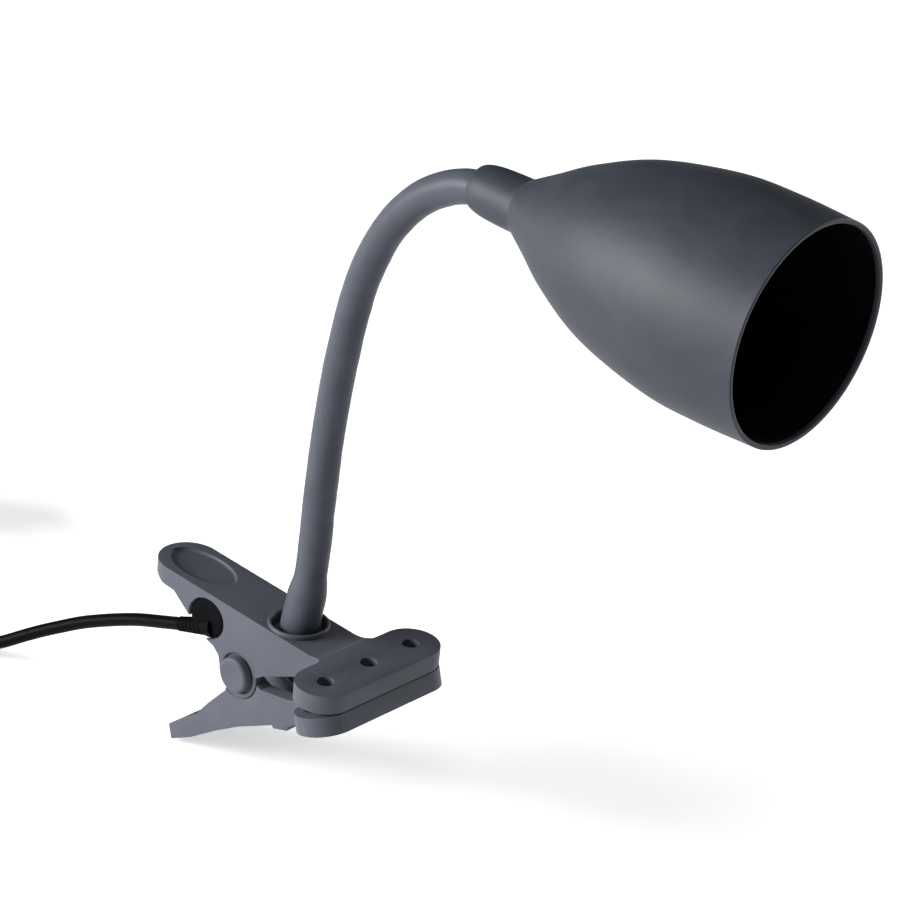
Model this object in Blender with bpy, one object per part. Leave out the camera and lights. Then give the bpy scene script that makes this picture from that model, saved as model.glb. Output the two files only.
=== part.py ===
"""Clip-on reading lamp: spring clamp, flexible neck, long bullet shade and mains cord.

Frame, in metres: +X towards the jaws and the shade's mouth, +Z up, and the origin at the
centre of the upper jaw's grip face. Run it from Blender's text editor or with --python.
"""
import math

import bmesh
import bpy
from mathutils import Matrix, Vector

MM = 0.001

# Clamp
HOLE_PITCH = 23.4 * MM
HOLE_RADIUS = 3.3 * MM
LOBE_RADIUS = 11.8 * MM
JAW_TOP = 7.8 * MM
JAW_UNDERSIDE = 0.3 * MM
BODY_HALF_WIDTH = 12.9 * MM
WALL = 3.0 * MM
PLATE = 3.0 * MM
HANDLE_END_X = -112.0 * MM
PIVOT = Vector((-56.2 * MM, 0.0, -18.3 * MM))
PIN_RADIUS = 2.0 * MM
CAP_RADIUS = 7.4 * MM
CAP_THICKNESS = 3.8 * MM
CAP_RECESS = 1.0 * MM
EAR_RADIUS = 10.2 * MM
LOWER_TILT = math.radians(17.2)
LOWER_JAW_TOP = -2.7 * MM
NOTCH_X = -75.5 * MM
NOTCH_Z = -2.3 * MM
NOTCH_LENGTH = 9.8 * MM
NOTCH_HEIGHT = 8.6 * MM
NOTCH_TILT = math.radians(21.0)
PAD_THICKNESS = 1.8 * MM
PAD_RADIUS = 6.0 * MM
PAD_BACK = 2.3 * MM
GAP = 0.3 * MM
RUNNING_GAP = 0.4 * MM

# Neck
SOCKET_X = -37.6 * MM
SOCKET_RADIUS = 12.2 * MM
RECESS_RADIUS = 10.8 * MM
SLEEVE_RADIUS = 6.35 * MM
FOOT_RADIUS = 7.7 * MM
SHANK_RADIUS = 4.5 * MM
CORE_RADIUS = 4.3 * MM
JOINT_HALF_GAP = 0.3 * MM
NECK_ROUTE = [
    (-37.4, 4.6), (-36.2, 12.5), (-34.8, 20.0), (-33.7, 28.0), (-33.0, 37.0), (-32.5, 48.0),
    (-32.3, 60.0), (-31.8, 72.0), (-31.1, 84.0), (-30.2, 96.0), (-29.1, 108.0), (-27.6, 120.0),
    (-25.7, 132.0), (-23.3, 145.0), (-20.4, 157.0), (-16.4, 168.5), (-10.8, 180.0), (-3.2, 191.0),
    (5.6, 200.0), (15.6, 206.6), (25.0, 210.6), (35.0, 212.3),
]
NECK_JOINT_FRACTIONS = (0.20, 0.37, 0.53, 0.69, 0.84)

# Shade
SHADE_ORIGIN = Vector((31.0 * MM, 0.0, 212.5 * MM))
SHADE_PITCH = math.radians(1.6)
SHADE_WALL = 1.8 * MM
COLLAR_BORE = 7.6
COLLAR_OUTLINE = [(0.0, COLLAR_BORE), (0.6, 8.2), (2.0, 8.7), (5.0, 9.3), (11.0, 9.8), (18.0, 10.0),
                  (22.6, 10.0)]
BELL_OUTLINE = [(33.2, 16.4), (47.7, 24.9), (69.4, 34.0), (98.4, 39.9), (120.2, 40.8), (143.6, 40.0)]
PARTITION_AT = 21.0 * MM
PARTITION_THICKNESS = 2.5 * MM
HOLDER_AT = 38.0 * MM
HOLDER_RADIUS = 13.0 * MM

# Cord
CORD_RADIUS = 2.7 * MM
FLOOR = -65.9 * MM
LEAD_ROUTE = [
    (-92.3, -10.0, -13.0), (-103.6, -10.0, -17.1), (-115.1, -10.0, -21.3), (-126.1, -10.6, -25.9),
    (-136.8, -11.6, -30.8), (-146.9, -13.2, -35.7), (-156.4, -15.5, -41.0), (-165.2, -18.4, -46.0),
    (-173.6, -21.6, -51.2), (-181.9, -24.4, -56.5), (-191.5, -27.2, -61.3), (-203.0, -29.8, -63.0),
    (-215.0, -32.2, -63.0), (-227.0, -34.0, -61.4), (-238.1, -34.4, -60.0),
]
TAIL_ROUTE = [(-298.0, -34.4, -60.0), (-305.0, -34.2, -61.4), (-313.5, -33.1, -62.1), (-321.5, -31.4, -62.1)]
TAIL_ROUTE += [(-328.5, -29.7, -62.1)]
SWITCH_CENTRE = Vector((-268.0 * MM, -34.4 * MM, 0.0))
SWITCH_LENGTH = 58.0 * MM
SWITCH_WIDTH = 21.0 * MM
SWITCH_HEIGHT = 15.0 * MM
COIL_CENTRE = Vector((-322.0 * MM, 9.0 * MM, 0.0))
COIL_TURNS_WIDE = 3
COIL_TURNS_HIGH = 2
COIL_MIDDLE_RADIUS = 28.0 * MM
TIE_THICKNESS = 0.8 * MM
COIL_BASE = FLOOR + TIE_THICKNESS + GAP
PLUG_TURN_RADIUS = 22.0 * MM
PLUG_OFFSET = 11.0 * MM
PLUG_RELIEF = 10.0 * MM
PLUG_LENGTH = 34.0 * MM
PLUG_WIDTH = 34.0 * MM
PLUG_THICKNESS = 13.7 * MM
PLUG_PIN_RADIUS = 2.0 * MM
PLUG_PIN_PITCH = 18.6 * MM
PLUG_PIN_LENGTH = 19.0 * MM


def clear_scene():
    for item in list(bpy.data.objects):
        bpy.data.objects.remove(item, do_unlink=True)


def material(name, colour, roughness, metallic=0.0):
    made = bpy.data.materials.get(name)
    if made is None:
        made = bpy.data.materials.new(name)
        made.use_nodes = True
        shader = made.node_tree.nodes["Principled BSDF"]
        shader.inputs["Base Color"].default_value = (*colour, 1.0)
        shader.inputs["Roughness"].default_value = roughness
        shader.inputs["Metallic"].default_value = metallic
    return made


def slate_plastic():
    return material("slate_plastic", (0.085, 0.100, 0.130), 0.5)


def slate_sleeve():
    return material("slate_sleeve", (0.070, 0.083, 0.110), 0.42)


def black_plastic():
    return material("black_plastic", (0.010, 0.011, 0.013), 0.5)


def black_rubber():
    return material("black_rubber", (0.012, 0.013, 0.015), 0.7)


def steel():
    return material("zinc_steel", (0.60, 0.61, 0.62), 0.35, 1.0)


def brass():
    return material("brass", (0.72, 0.55, 0.26), 0.3, 1.0)


def add_object(name, bm, finish):
    mesh = bpy.data.meshes.new(name)
    bmesh.ops.recalc_face_normals(bm, faces=bm.faces)
    bm.to_mesh(mesh)
    bm.free()
    mesh.shade_smooth()
    mesh.set_sharp_from_angle(angle=math.radians(35.0))
    item = bpy.data.objects.new(name, mesh)
    item.data.materials.append(finish)
    bpy.context.scene.collection.objects.link(item)
    return item


def tool(item):
    item.hide_render = True
    item.display_type = 'WIRE'
    return item


def combine(target, other, operation):
    change = target.modifiers.new(operation.lower() + "_" + other.name, 'BOOLEAN')
    change.operation = operation
    change.solver = 'EXACT'
    change.object = tool(other)
    return target


def cut(target, *others):
    for other in others:
        combine(target, other, 'DIFFERENCE')
    return target


def join(target, *others):
    for other in others:
        combine(target, other, 'UNION')
    return target


def keep_inside(target, other):
    return combine(target, other, 'INTERSECT')


def prism(name, outline, low, high, finish, direction='Z'):
    """Extrude a closed outline. 'Z' takes (x, y) points upwards; 'Y' takes (x, z) points sideways."""
    bm = bmesh.new()
    if direction == 'Z':
        corners = [bm.verts.new((x, y, low)) for x, y in outline]
        travel = Vector((0.0, 0.0, high - low))
    else:
        corners = [bm.verts.new((x, low, z)) for x, z in outline]
        travel = Vector((0.0, high - low, 0.0))
    face = bm.faces.new(corners)
    moved = bmesh.ops.extrude_face_region(bm, geom=[face])
    new_corners = [part for part in moved["geom"] if isinstance(part, bmesh.types.BMVert)]
    bmesh.ops.translate(bm, verts=new_corners, vec=travel)
    return add_object(name, bm, finish)


def turned(name, outline, finish, sides=32, closed=True):
    """Turn an outline of (along, radius) points about +X. An open outline ends on the axis."""
    bm = bmesh.new()
    rings = []
    for along, radius in outline:
        if radius <= 0.0:
            rings.append([bm.verts.new((along, 0.0, 0.0))])
            continue
        angles = [2.0 * math.pi * index / sides for index in range(sides)]
        rings.append([bm.verts.new((along, radius * math.cos(a), radius * math.sin(a))) for a in angles])
    pairs = list(zip(rings, rings[1:]))
    if closed:
        pairs.append((rings[-1], rings[0]))
    for first, second in pairs:
        for index in range(sides):
            after = (index + 1) % sides
            corners = [first[index % len(first)], first[after % len(first)],
                       second[after % len(second)], second[index % len(second)]]
            bm.faces.new(list(dict.fromkeys(corners)))
    return add_object(name, bm, finish)


def cylinder(name, radius, start, end, finish, sides=32):
    """A solid cylinder between two points."""
    start = Vector(start)
    end = Vector(end)
    length = (end - start).length
    item = turned(name, [(0.0, 0.0), (0.0, radius), (length, radius), (length, 0.0)], finish, sides, False)
    turn = Vector((1.0, 0.0, 0.0)).rotation_difference(end - start).to_matrix().to_4x4()
    item.data.transform(Matrix.Translation(start) @ turn)
    return item


def ring(name, inner, outer, start, end, finish, sides=32):
    """A tube between two points."""
    start = Vector(start)
    end = Vector(end)
    length = (end - start).length
    outline = [(0.0, inner), (0.0, outer), (length, outer), (length, inner)]
    item = turned(name, outline, finish, sides)
    turn = Vector((1.0, 0.0, 0.0)).rotation_difference(end - start).to_matrix().to_4x4()
    item.data.transform(Matrix.Translation(start) @ turn)
    return item


def box(name, low, high, finish):
    bm = bmesh.new()
    bmesh.ops.create_cube(bm, size=1.0)
    low = Vector(low)
    size = Vector(high) - low
    place = Matrix.Translation(low + 0.5 * size) @ Matrix.Diagonal((*size, 1.0))
    bmesh.ops.transform(bm, matrix=place, verts=bm.verts)
    return add_object(name, bm, finish)


def arc(centre_x, centre_y, radius, start_deg, end_deg, steps):
    points = []
    for step in range(steps + 1):
        angle = math.radians(start_deg + (end_deg - start_deg) * step / steps)
        points.append((centre_x + radius * math.cos(angle), centre_y + radius * math.sin(angle)))
    return points


def smooth_points(route, spacing):
    """Points at an even spacing on a Catmull-Rom curve through the route."""
    route = [Vector(point) for point in route]
    padded = [2.0 * route[0] - route[1]] + route + [2.0 * route[-1] - route[-2]]
    fine = []
    steps = 24
    for before, start, end, after in zip(padded, padded[1:], padded[2:], padded[3:]):
        for step in range(steps):
            t = step / steps
            fine.append(0.5 * (2.0 * start + (end - before) * t
                               + (2.0 * before - 5.0 * start + 4.0 * end - after) * t * t
                               + (3.0 * start - before - 3.0 * end + after) * t ** 3))
    fine.append(route[-1])
    travelled = [0.0]
    for first, second in zip(fine, fine[1:]):
        travelled.append(travelled[-1] + (second - first).length)
    count = max(2, round(travelled[-1] / spacing))
    points = []
    index = 0
    for step in range(count + 1):
        target = travelled[-1] * step / count
        while index < len(fine) - 2 and travelled[index + 1] < target:
            index += 1
        share = (target - travelled[index]) / (travelled[index + 1] - travelled[index])
        points.append(fine[index].lerp(fine[index + 1], min(1.0, max(0.0, share))))
    return points


def tube(name, points, radius, finish, resolution=2):
    """A round cord: a poly curve with a bevel and filled caps."""
    curve = bpy.data.curves.new(name, 'CURVE')
    curve.dimensions = '3D'
    curve.bevel_depth = radius
    curve.bevel_resolution = resolution
    curve.render_resolution_u = 0
    curve.use_fill_caps = True
    spline = curve.splines.new('POLY')
    spline.points.add(len(points) - 1)
    for slot, point in zip(spline.points, points):
        slot.co = (*point, 1.0)
    curve.materials.append(finish)
    item = bpy.data.objects.new(name, curve)
    bpy.context.scene.collection.objects.link(item)
    return item


# ---------------------------------------------------------------- clamp

def top_height(x):
    """Height of the upper lever's top surface: level over the jaw, rising gently to the handle."""
    if x > -11.0 * MM:
        return JAW_TOP
    if x > -19.0 * MM:
        return JAW_TOP - 1.1 * MM * (-11.0 * MM - x) / (8.0 * MM)
    return JAW_TOP - 1.1 * MM + 0.0465 * (-19.0 * MM - x)


def lever_plan(rear_end, rounded_end):
    """Outline of a lever seen from above: a narrow body and a jaw bar with two round lobes."""
    half = []
    half += arc(0.0, HOLE_PITCH, LOBE_RADIUS, 0.0, 180.0, 16)
    fillet = 3.6 * MM
    half += arc(-LOBE_RADIUS - fillet, BODY_HALF_WIDTH + fillet, fillet, 0.0, -90.0, 5)
    if rounded_end:
        half += arc(rear_end + BODY_HALF_WIDTH, 0.0, BODY_HALF_WIDTH, 90.0, 180.0, 10)
    else:
        corner = 3.0 * MM
        half += arc(rear_end + corner, BODY_HALF_WIDTH - corner, corner, 90.0, 180.0, 4)
    mirrored = [(x, -y) for x, y in reversed(half) if y > 1e-7]
    return half + mirrored


def pad_outline(jaw_x, radius):
    """A long rounded pad across the jaw, set back from its front edge."""
    points = arc(jaw_x - PAD_BACK, HOLE_PITCH, radius, 0.0, 180.0, 10)
    points += arc(jaw_x - PAD_BACK, -HOLE_PITCH, radius, 180.0, 360.0, 10)
    return points


def upper_profile():
    """Side view of the upper lever, jaw to handle along the top and back along the bottom."""
    px, pz = PIVOT.x, PIVOT.z
    points = [(14.0 * MM, JAW_TOP), (-11.0 * MM, JAW_TOP), (-19.0 * MM, top_height(-19.0 * MM))]
    points += [(-114.0 * MM, top_height(-114.0 * MM)), (-114.0 * MM, 5.7 * MM), (-105.0 * MM, 4.3 * MM)]
    points += [(-101.5 * MM, 2.9 * MM), (-94.3 * MM, 2.2 * MM), (-84.9 * MM, -4.8 * MM)]
    points += [(-78.0 * MM, -9.9 * MM), (-70.5 * MM, -12.4 * MM), (-67.4 * MM, -15.0 * MM)]
    points += arc(px, pz, EAR_RADIUS, 180.0, 372.0, 20)
    points += [(-42.6 * MM, -13.5 * MM), (-27.2 * MM, -6.5 * MM), (-12.4 * MM, JAW_UNDERSIDE)]
    points += [(14.0 * MM, JAW_UNDERSIDE)]
    return points


def cavity_profile():
    """Side view of the space under the upper lever's top plate."""
    drop = PLATE
    points = [(-16.0 * MM, top_height(-16.0 * MM) - drop), (-19.0 * MM, top_height(-19.0 * MM) - drop)]
    points += [(-107.0 * MM, top_height(-107.0 * MM) - drop), (-107.0 * MM, -60.0 * MM)]
    points += [(-16.0 * MM, -60.0 * MM)]
    return points


def cavity_plan():
    """Plan of the space between the cheeks, round at the handle end."""
    radius = BODY_HALF_WIDTH - WALL
    points = [(-16.0 * MM, radius)]
    points += arc(HANDLE_END_X + BODY_HALF_WIDTH, 0.0, radius, 90.0, 270.0, 14)
    points += [(-16.0 * MM, -radius)]
    return points


def stepped_bore(name, wide_from, wide_radius, centre, finish):
    """A pin bore along Y that widens outside a given half width."""
    far = 30.0 * MM
    bore = PIN_RADIUS + RUNNING_GAP
    steps = [(-far, 0.0), (-far, wide_radius), (-wide_from, wide_radius), (-wide_from, bore),
             (wide_from, bore), (wide_from, wide_radius), (far, wide_radius), (far, 0.0)]
    cutter = turned(name, steps, finish, 40, False)
    cutter.data.transform(Matrix.Translation(centre) @ Matrix.Rotation(math.radians(90.0), 4, 'Z'))
    return cutter


def make_upper_lever(finish):
    lever = prism("upper_lever", upper_profile(), -45.0 * MM, 45.0 * MM, finish, 'Y')
    keep_inside(lever, prism("upper_plan", lever_plan(HANDLE_END_X, True), -60.0 * MM, 30.0 * MM, finish))
    hollow = prism("upper_hollow", cavity_profile(), -20.0 * MM, 20.0 * MM, finish, 'Y')
    keep_inside(hollow, prism("upper_hollow_plan", cavity_plan(), -70.0 * MM, 30.0 * MM, finish))
    cut(lever, hollow)
    for side in (-1, 0, 1):
        place = side * HOLE_PITCH
        hole = cylinder(f"jaw_hole_{side + 2}", HOLE_RADIUS, (0, place, -0.01), (0, place, 0.02), finish, 24)
        cut(lever, hole)
    recess = pad_outline(0.0, PAD_RADIUS + GAP)
    cut(lever, prism("upper_pad_recess", recess, -5.0 * MM, PAD_THICKNESS, finish))
    lip = top_height(SOCKET_X) + 1.5 * MM
    floor = top_height(SOCKET_X) - 4.4 * MM
    middle = (RECESS_RADIUS + SOCKET_RADIUS) / 2.0
    cut(lever, cylinder("socket_opening", middle, (SOCKET_X, 0, -0.02), (SOCKET_X, 0, 0.03), finish, 40))
    bore = SHANK_RADIUS + GAP
    section = [(floor - 3.0 * MM, bore), (floor - 3.0 * MM, SOCKET_RADIUS), (lip, SOCKET_RADIUS),
               (lip, RECESS_RADIUS), (floor, RECESS_RADIUS), (floor, bore)]
    cup = turned("socket_cup", section, finish, 40)
    cup.data.transform(Matrix.Translation((SOCKET_X, 0, 0)) @ Matrix.Rotation(math.radians(-90.0), 4, 'Y'))
    join(lever, cup)
    thumb = turned("thumb_dish", [(-1.0, 0.0)] + [(-math.cos(a), math.sin(a)) for a in
                   [math.pi * step / 12.0 for step in range(1, 12)]] + [(1.0, 0.0)], finish, 28, False)
    dish_x = -92.0 * MM
    thumb.data.transform(Matrix.Translation((dish_x, 0, top_height(dish_x) + 3.6 * MM))
                         @ Matrix.Diagonal((18.4 * MM, 12.6 * MM, 5.0 * MM, 1.0)))
    cut(lever, thumb)
    notch = cylinder("cord_notch", 1.0, (0, -1.0, 0), (0, 1.0, 0), finish, 28)
    notch.data.transform(Matrix.Translation((NOTCH_X, -11.4 * MM, NOTCH_Z))
                         @ Matrix.Rotation(-NOTCH_TILT, 4, 'Y')
                         @ Matrix.Diagonal((NOTCH_LENGTH, 3.0 * MM, NOTCH_HEIGHT, 1.0)))
    cut(lever, notch, relief_shape("relief_clearance", 0.6 * MM, finish))
    cap_seat = BODY_HALF_WIDTH - CAP_RECESS
    cut(lever, stepped_bore("cap_recesses", cap_seat, CAP_RADIUS + 0.9 * MM, PIVOT, finish))
    return lever


def lower_profile():
    """Side view of the lower lever about the pivot, with its jaw plate level."""
    points = [(71.0, -2.7), (52.0, -2.7), (47.0, -2.9), (38.0, -6.4), (26.5, -7.4), (12.0, -5.2)]
    points = [(x * MM, z * MM) for x, z in points]
    points += arc(0.0, 0.0, 7.6 * MM, -10.0, 205.0, 18)
    back = [(-8.6, -8.0), (-20.8, -15.4), (-32.4, -23.3), (-37.0, -24.0), (-50.1, -28.9), (-49.3, -34.5)]
    back += [(-34.1, -31.5), (-18.4, -26.5), (-4.6, -22.9), (15.5, -19.4), (16.2, -20.6), (23.6, -20.6)]
    back += [(24.4, -18.9), (38.0, -14.5), (52.0, -10.2), (71.0, -10.2)]
    return points + [(x * MM, z * MM) for x, z in back]


def lower_floor_line(x):
    """Height of the inside of the lower lever's floor, in its own frame."""
    line = [(-48.0, -31.2), (-34.1, -29.1), (-18.4, -24.0), (-4.6, -20.4), (15.5, -16.9), (30.0, -14.4),
            (44.0, -9.6)]
    for (x0, z0), (x1, z1) in zip(line, line[1:]):
        if x <= x1 * MM:
            return MM * (z0 + (z1 - z0) * (x / MM - x0) / (x1 - x0))
    return line[-1][1] * MM


def make_lower_lever(finish):
    jaw_x = LOBE_RADIUS + 70.56 * MM - 2.0 * LOBE_RADIUS
    lever = prism("lower_lever", lower_profile(), -45.0 * MM, 45.0 * MM, finish, 'Y')
    plan = [(x + jaw_x, y) for x, y in lever_plan(-48.0 * MM - jaw_x, False)]
    keep_inside(lever, prism("lower_plan", plan, -60.0 * MM, 30.0 * MM, finish))
    channel = [(x * MM, lower_floor_line(x * MM)) for x in (-44.0, -34.1, -18.4, -4.6, 15.5, 30.0, 42.0)]
    channel += [(42.0 * MM, 30.0 * MM), (-44.0 * MM, 30.0 * MM)]
    inside = 6.9 * MM
    cut(lever, prism("lower_channel", channel, -inside, inside, finish, 'Y'))
    origin = Vector((0.0, 0.0, 0.0))
    inner_face = BODY_HALF_WIDTH - WALL - GAP
    cut(lever, stepped_bore("ear_notches", inner_face, EAR_RADIUS + RUNNING_GAP, origin, finish))
    recess = pad_outline(jaw_x, PAD_RADIUS + GAP)
    cut(lever, prism("lower_pad_recess", recess, LOWER_JAW_TOP - PAD_THICKNESS + GAP, 0.01, finish))
    lever.location = PIVOT
    lever.rotation_euler = (0.0, -LOWER_TILT, 0.0)
    for change in lever.modifiers:
        change.object.location = PIVOT
        change.object.rotation_euler = lever.rotation_euler
    pad_back = LOWER_JAW_TOP - PAD_THICKNESS + 2.0 * GAP
    pad_face = LOWER_JAW_TOP + GAP
    pad = prism("lower_grip_pad", pad_outline(jaw_x, PAD_RADIUS), pad_back, pad_face, black_rubber())
    pad.parent = lever
    return lever


def make_clamp():
    finish = slate_plastic()
    make_upper_lever(finish)
    make_lower_lever(finish)
    prism("upper_grip_pad", pad_outline(0.0, PAD_RADIUS), 0.0, PAD_THICKNESS - GAP, black_rubber())
    reach = Vector((0, BODY_HALF_WIDTH - CAP_RECESS - 2.0 * GAP, 0))
    cylinder("pivot_pin", PIN_RADIUS, PIVOT - reach, PIVOT + reach, steel(), 20)
    for side, name in ((-1, "pivot_cap_near"), (1, "pivot_cap_far")):
        outline = [(0.0, 0.0), (0.0, CAP_RADIUS), (CAP_THICKNESS - 0.7 * MM, CAP_RADIUS),
                   (CAP_THICKNESS, CAP_RADIUS - 0.9 * MM), (CAP_THICKNESS, 0.0)]
        cap = turned(name, outline, finish, 32, False)
        cap.data.transform(Matrix.Rotation(side * math.radians(90.0), 4, 'Z'))
        cap.location = PIVOT + Vector((0, side * (BODY_HALF_WIDTH - CAP_RECESS + GAP), 0))


def make_spring():
    """Torsion spring round the pin, with one leg under the top plate and one on the lower floor."""
    coil_radius = 4.7 * MM
    wire = 0.8 * MM
    turns = 5
    per_turn = 14
    half_width = 5.4 * MM
    start_angle = math.radians(35.0)
    end_angle = start_angle - 2.0 * math.pi * turns - math.radians(50.0)
    count = turns * per_turn + 2
    points = []
    for step in range(count + 1):
        share = step / count
        angle = start_angle + (end_angle - start_angle) * share
        offset = Vector((math.cos(angle) * coil_radius, -half_width + 2.0 * half_width * share,
                         math.sin(angle) * coil_radius))
        points.append(PIVOT + offset)
    upper_leg = Vector((-37.0 * MM, -half_width, -8.6 * MM))
    lower_leg = PIVOT + Vector((22.0 * MM, half_width, -9.6 * MM))
    first = [upper_leg.lerp(points[0], share) for share in (0.0, 0.5)]
    last = [points[-1].lerp(lower_leg, share) for share in (0.5, 1.0)]
    return tube("clamp_spring", first + points + last, wire, steel())


# ---------------------------------------------------------------- neck

def neck_points():
    return smooth_points([(x * MM, 0.0, z * MM) for x, z in NECK_ROUTE], 1.5 * MM)


def neck_radius(travelled):
    """The sleeve is stretched over a wider ferrule at the foot."""
    flare = min(1.0, max(0.0, (28.5 * MM - travelled) / (12.0 * MM)))
    flare = flare * flare * (3.0 - 2.0 * flare)
    return SLEEVE_RADIUS + (FOOT_RADIUS - SLEEVE_RADIUS) * flare


def swept(name, stations, finish, sides):
    """Join rings along a path. Each station is (centre, direction, radius); a radius of 0 is a pole."""
    bm = bmesh.new()
    rings = []
    for centre, direction, radius in stations:
        if radius <= 0.0:
            rings.append([bm.verts.new(centre)])
            continue
        across = Vector((0.0, 1.0, 0.0))
        upward = direction.cross(across).normalized()
        angles = [2.0 * math.pi * index / sides for index in range(sides)]
        spokes = [math.cos(a) * across + math.sin(a) * upward for a in angles]
        rings.append([bm.verts.new(centre + radius * spoke) for spoke in spokes])
    pairs = list(zip(rings, rings[1:]))
    if len(rings[0]) > 1:
        pairs.append((rings[-1], rings[0]))
    for first, second in pairs:
        for index in range(sides):
            after = (index + 1) % sides
            corners = [first[index % len(first)], first[after % len(first)],
                       second[after % len(second)], second[index % len(second)]]
            bm.faces.new(list(dict.fromkeys(corners)))
    return add_object(name, bm, finish)


class NeckLine:
    """The neck's centreline, read by distance from the socket floor."""

    def __init__(self):
        self.points = neck_points()
        length = sum((b - a).length for a, b in zip(self.points, self.points[1:]))
        self.step = length / (len(self.points) - 1)
        self.length = self.step * (len(self.points) - 1)

    def at(self, distance):
        place = min(max(distance / self.step, 0.0), len(self.points) - 1.0001)
        index = int(place)
        return self.points[index].lerp(self.points[index + 1], place - index)

    def along(self, distance):
        ahead = self.at(min(distance + self.step, self.length))
        behind = self.at(max(distance - self.step, 0.0))
        return (ahead - behind).normalized()


def dome(line, joint, sign, outer_radius, from_angle, to_angle, steps):
    """Rings on the ball that ends a segment. Angles run from the joint's pole to the ball's widest ring."""
    direction = line.along(joint)
    ball = SLEEVE_RADIUS
    centre = line.at(joint) + sign * direction * (ball + JOINT_HALF_GAP)
    stations = []
    for step in range(steps + 1):
        angle = from_angle + (to_angle - from_angle) * step / steps
        radius = min(outer_radius, ball * math.sin(angle))
        stations.append((centre - sign * direction * ball * math.cos(angle), direction, radius))
    return stations


def make_neck():
    line = NeckLine()
    ends = [0.0] + [share * line.length for share in NECK_JOINT_FRACTIONS] + [line.length]
    for index, (start, end) in enumerate(zip(ends, ends[1:])):
        number = index + 1
        open_start = index == 0
        open_end = index == len(ends) - 2
        make_core(line, start, end, open_start, open_end, number)
        make_sleeve(line, start, end, open_start, open_end, number)
    return line


def make_core(line, start, end, open_start, open_end, number):
    rim = math.asin(CORE_RADIUS / SLEEVE_RADIUS)
    stations = []
    if open_start:
        first = start + 12.0 * MM
        stations.append((line.at(first), line.along(first), 0.0))
    else:
        first = start + SLEEVE_RADIUS + JOINT_HALF_GAP
        stations += dome(line, start, 1.0, CORE_RADIUS, 0.0, rim, 3)
    last = end - 12.0 * MM if open_end else end - SLEEVE_RADIUS - JOINT_HALF_GAP
    steps = max(4, round((last - first) / (7.0 * MM)))
    for step in range(steps + 1):
        distance = first + (last - first) * step / steps
        stations.append((line.at(distance), line.along(distance), CORE_RADIUS))
    if open_end:
        stations.append((line.at(last), line.along(last), 0.0))
    else:
        stations += list(reversed(dome(line, end, -1.0, CORE_RADIUS, 0.0, rim, 3)))
    return swept(f"neck_core_{number}", stations, steel(), 12)


def make_sleeve(line, start, end, open_start, open_end, number):
    sides = 16
    bore = CORE_RADIUS + GAP
    rim = math.asin(bore / SLEEVE_RADIUS)
    ball = SLEEVE_RADIUS + JOINT_HALF_GAP
    first = start if open_start else start + ball
    last = end if open_end else end - ball
    steps = max(4, round((last - first) / (6.0 * MM)))
    if open_start:
        steps *= 2
    outside = []
    inside = []
    for step in range(steps + 1):
        distance = first + (last - first) * step / steps
        centre, direction = line.at(distance), line.along(distance)
        outside.append((centre, direction, neck_radius(distance)))
        wide = 1.4 * MM if distance < 14.0 * MM else 0.0
        inside.append((centre, direction, bore + wide))
    if open_start:
        start_dome = []
    else:
        start_dome = dome(line, start, 1.0, SLEEVE_RADIUS, rim, math.radians(80.0), 3)
    if open_end:
        end_dome = []
    else:
        end_dome = list(reversed(dome(line, end, -1.0, SLEEVE_RADIUS, rim, math.radians(80.0), 3)))
    stations = start_dome + outside + end_dome + list(reversed(inside))
    return swept(f"neck_sleeve_{number}", stations, slate_sleeve(), sides)


def make_neck_foot(line):
    """Ferrule in the sleeve's foot, with a threaded shank through the socket floor, washer and nut."""
    floor = top_height(SOCKET_X) - 4.4 * MM
    under = floor - 3.0 * MM
    foot = line.at(0.4 * MM)
    shank_ends = (SOCKET_X, 0, under - 6.2 * MM), (SOCKET_X, 0, foot.z + 2.0 * MM)
    shank = cylinder("neck_foot_ferrule", SHANK_RADIUS, *shank_ends, steel(), 20)
    join(shank, cylinder("ferrule_barrel", 5.6 * MM, foot, line.at(11.4 * MM), steel(), 20))
    washer_ends = (SOCKET_X, 0, under - GAP), (SOCKET_X, 0, under - 1.3 * MM)
    ring("neck_washer", 5.0 * MM, 9.0 * MM, *washer_ends, steel(), 24)
    nut_ends = (SOCKET_X, 0, under - 1.6 * MM), (SOCKET_X, 0, under - 5.6 * MM)
    ring("neck_locknut", 5.5 * MM, 7.8 * MM, *nut_ends, steel(), 6)


# ---------------------------------------------------------------- head

def shade_outline():
    outer = [Vector((x, r)) for x, r in COLLAR_OUTLINE]
    bell = smooth_points([(x, r, 0.0) for x, r in [COLLAR_OUTLINE[-1]] + BELL_OUTLINE], 7.0)
    outer += [Vector((point.x, point.y)) for point in bell[1:]]
    wall = SHADE_WALL / MM
    partition = PARTITION_AT / MM
    back = partition + PARTITION_THICKNESS / MM
    inner = []
    for before, here, after in zip(outer, outer[1:], outer[2:]):
        slope = (after - before).normalized()
        moved = here + wall * Vector((slope.y, -slope.x))
        if moved.x > back + 0.6 and here.x > COLLAR_OUTLINE[-1][0]:
            inner.append(moved)
    last = outer[-1]
    outline = [(point.x, point.y) for point in outer]
    outline += [(last.x, last.y - wall)]
    outline += [(point.x, point.y) for point in reversed(inner)]
    outline += [(back, inner[0].y - 1.2), (back, 5.2), (partition, 5.2), (partition, COLLAR_BORE)]
    return [(along * MM, radius * MM) for along, radius in outline]


def place_on_shade(item):
    item.location = SHADE_ORIGIN
    item.rotation_euler = (0.0, SHADE_PITCH, 0.0)
    return item


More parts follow.
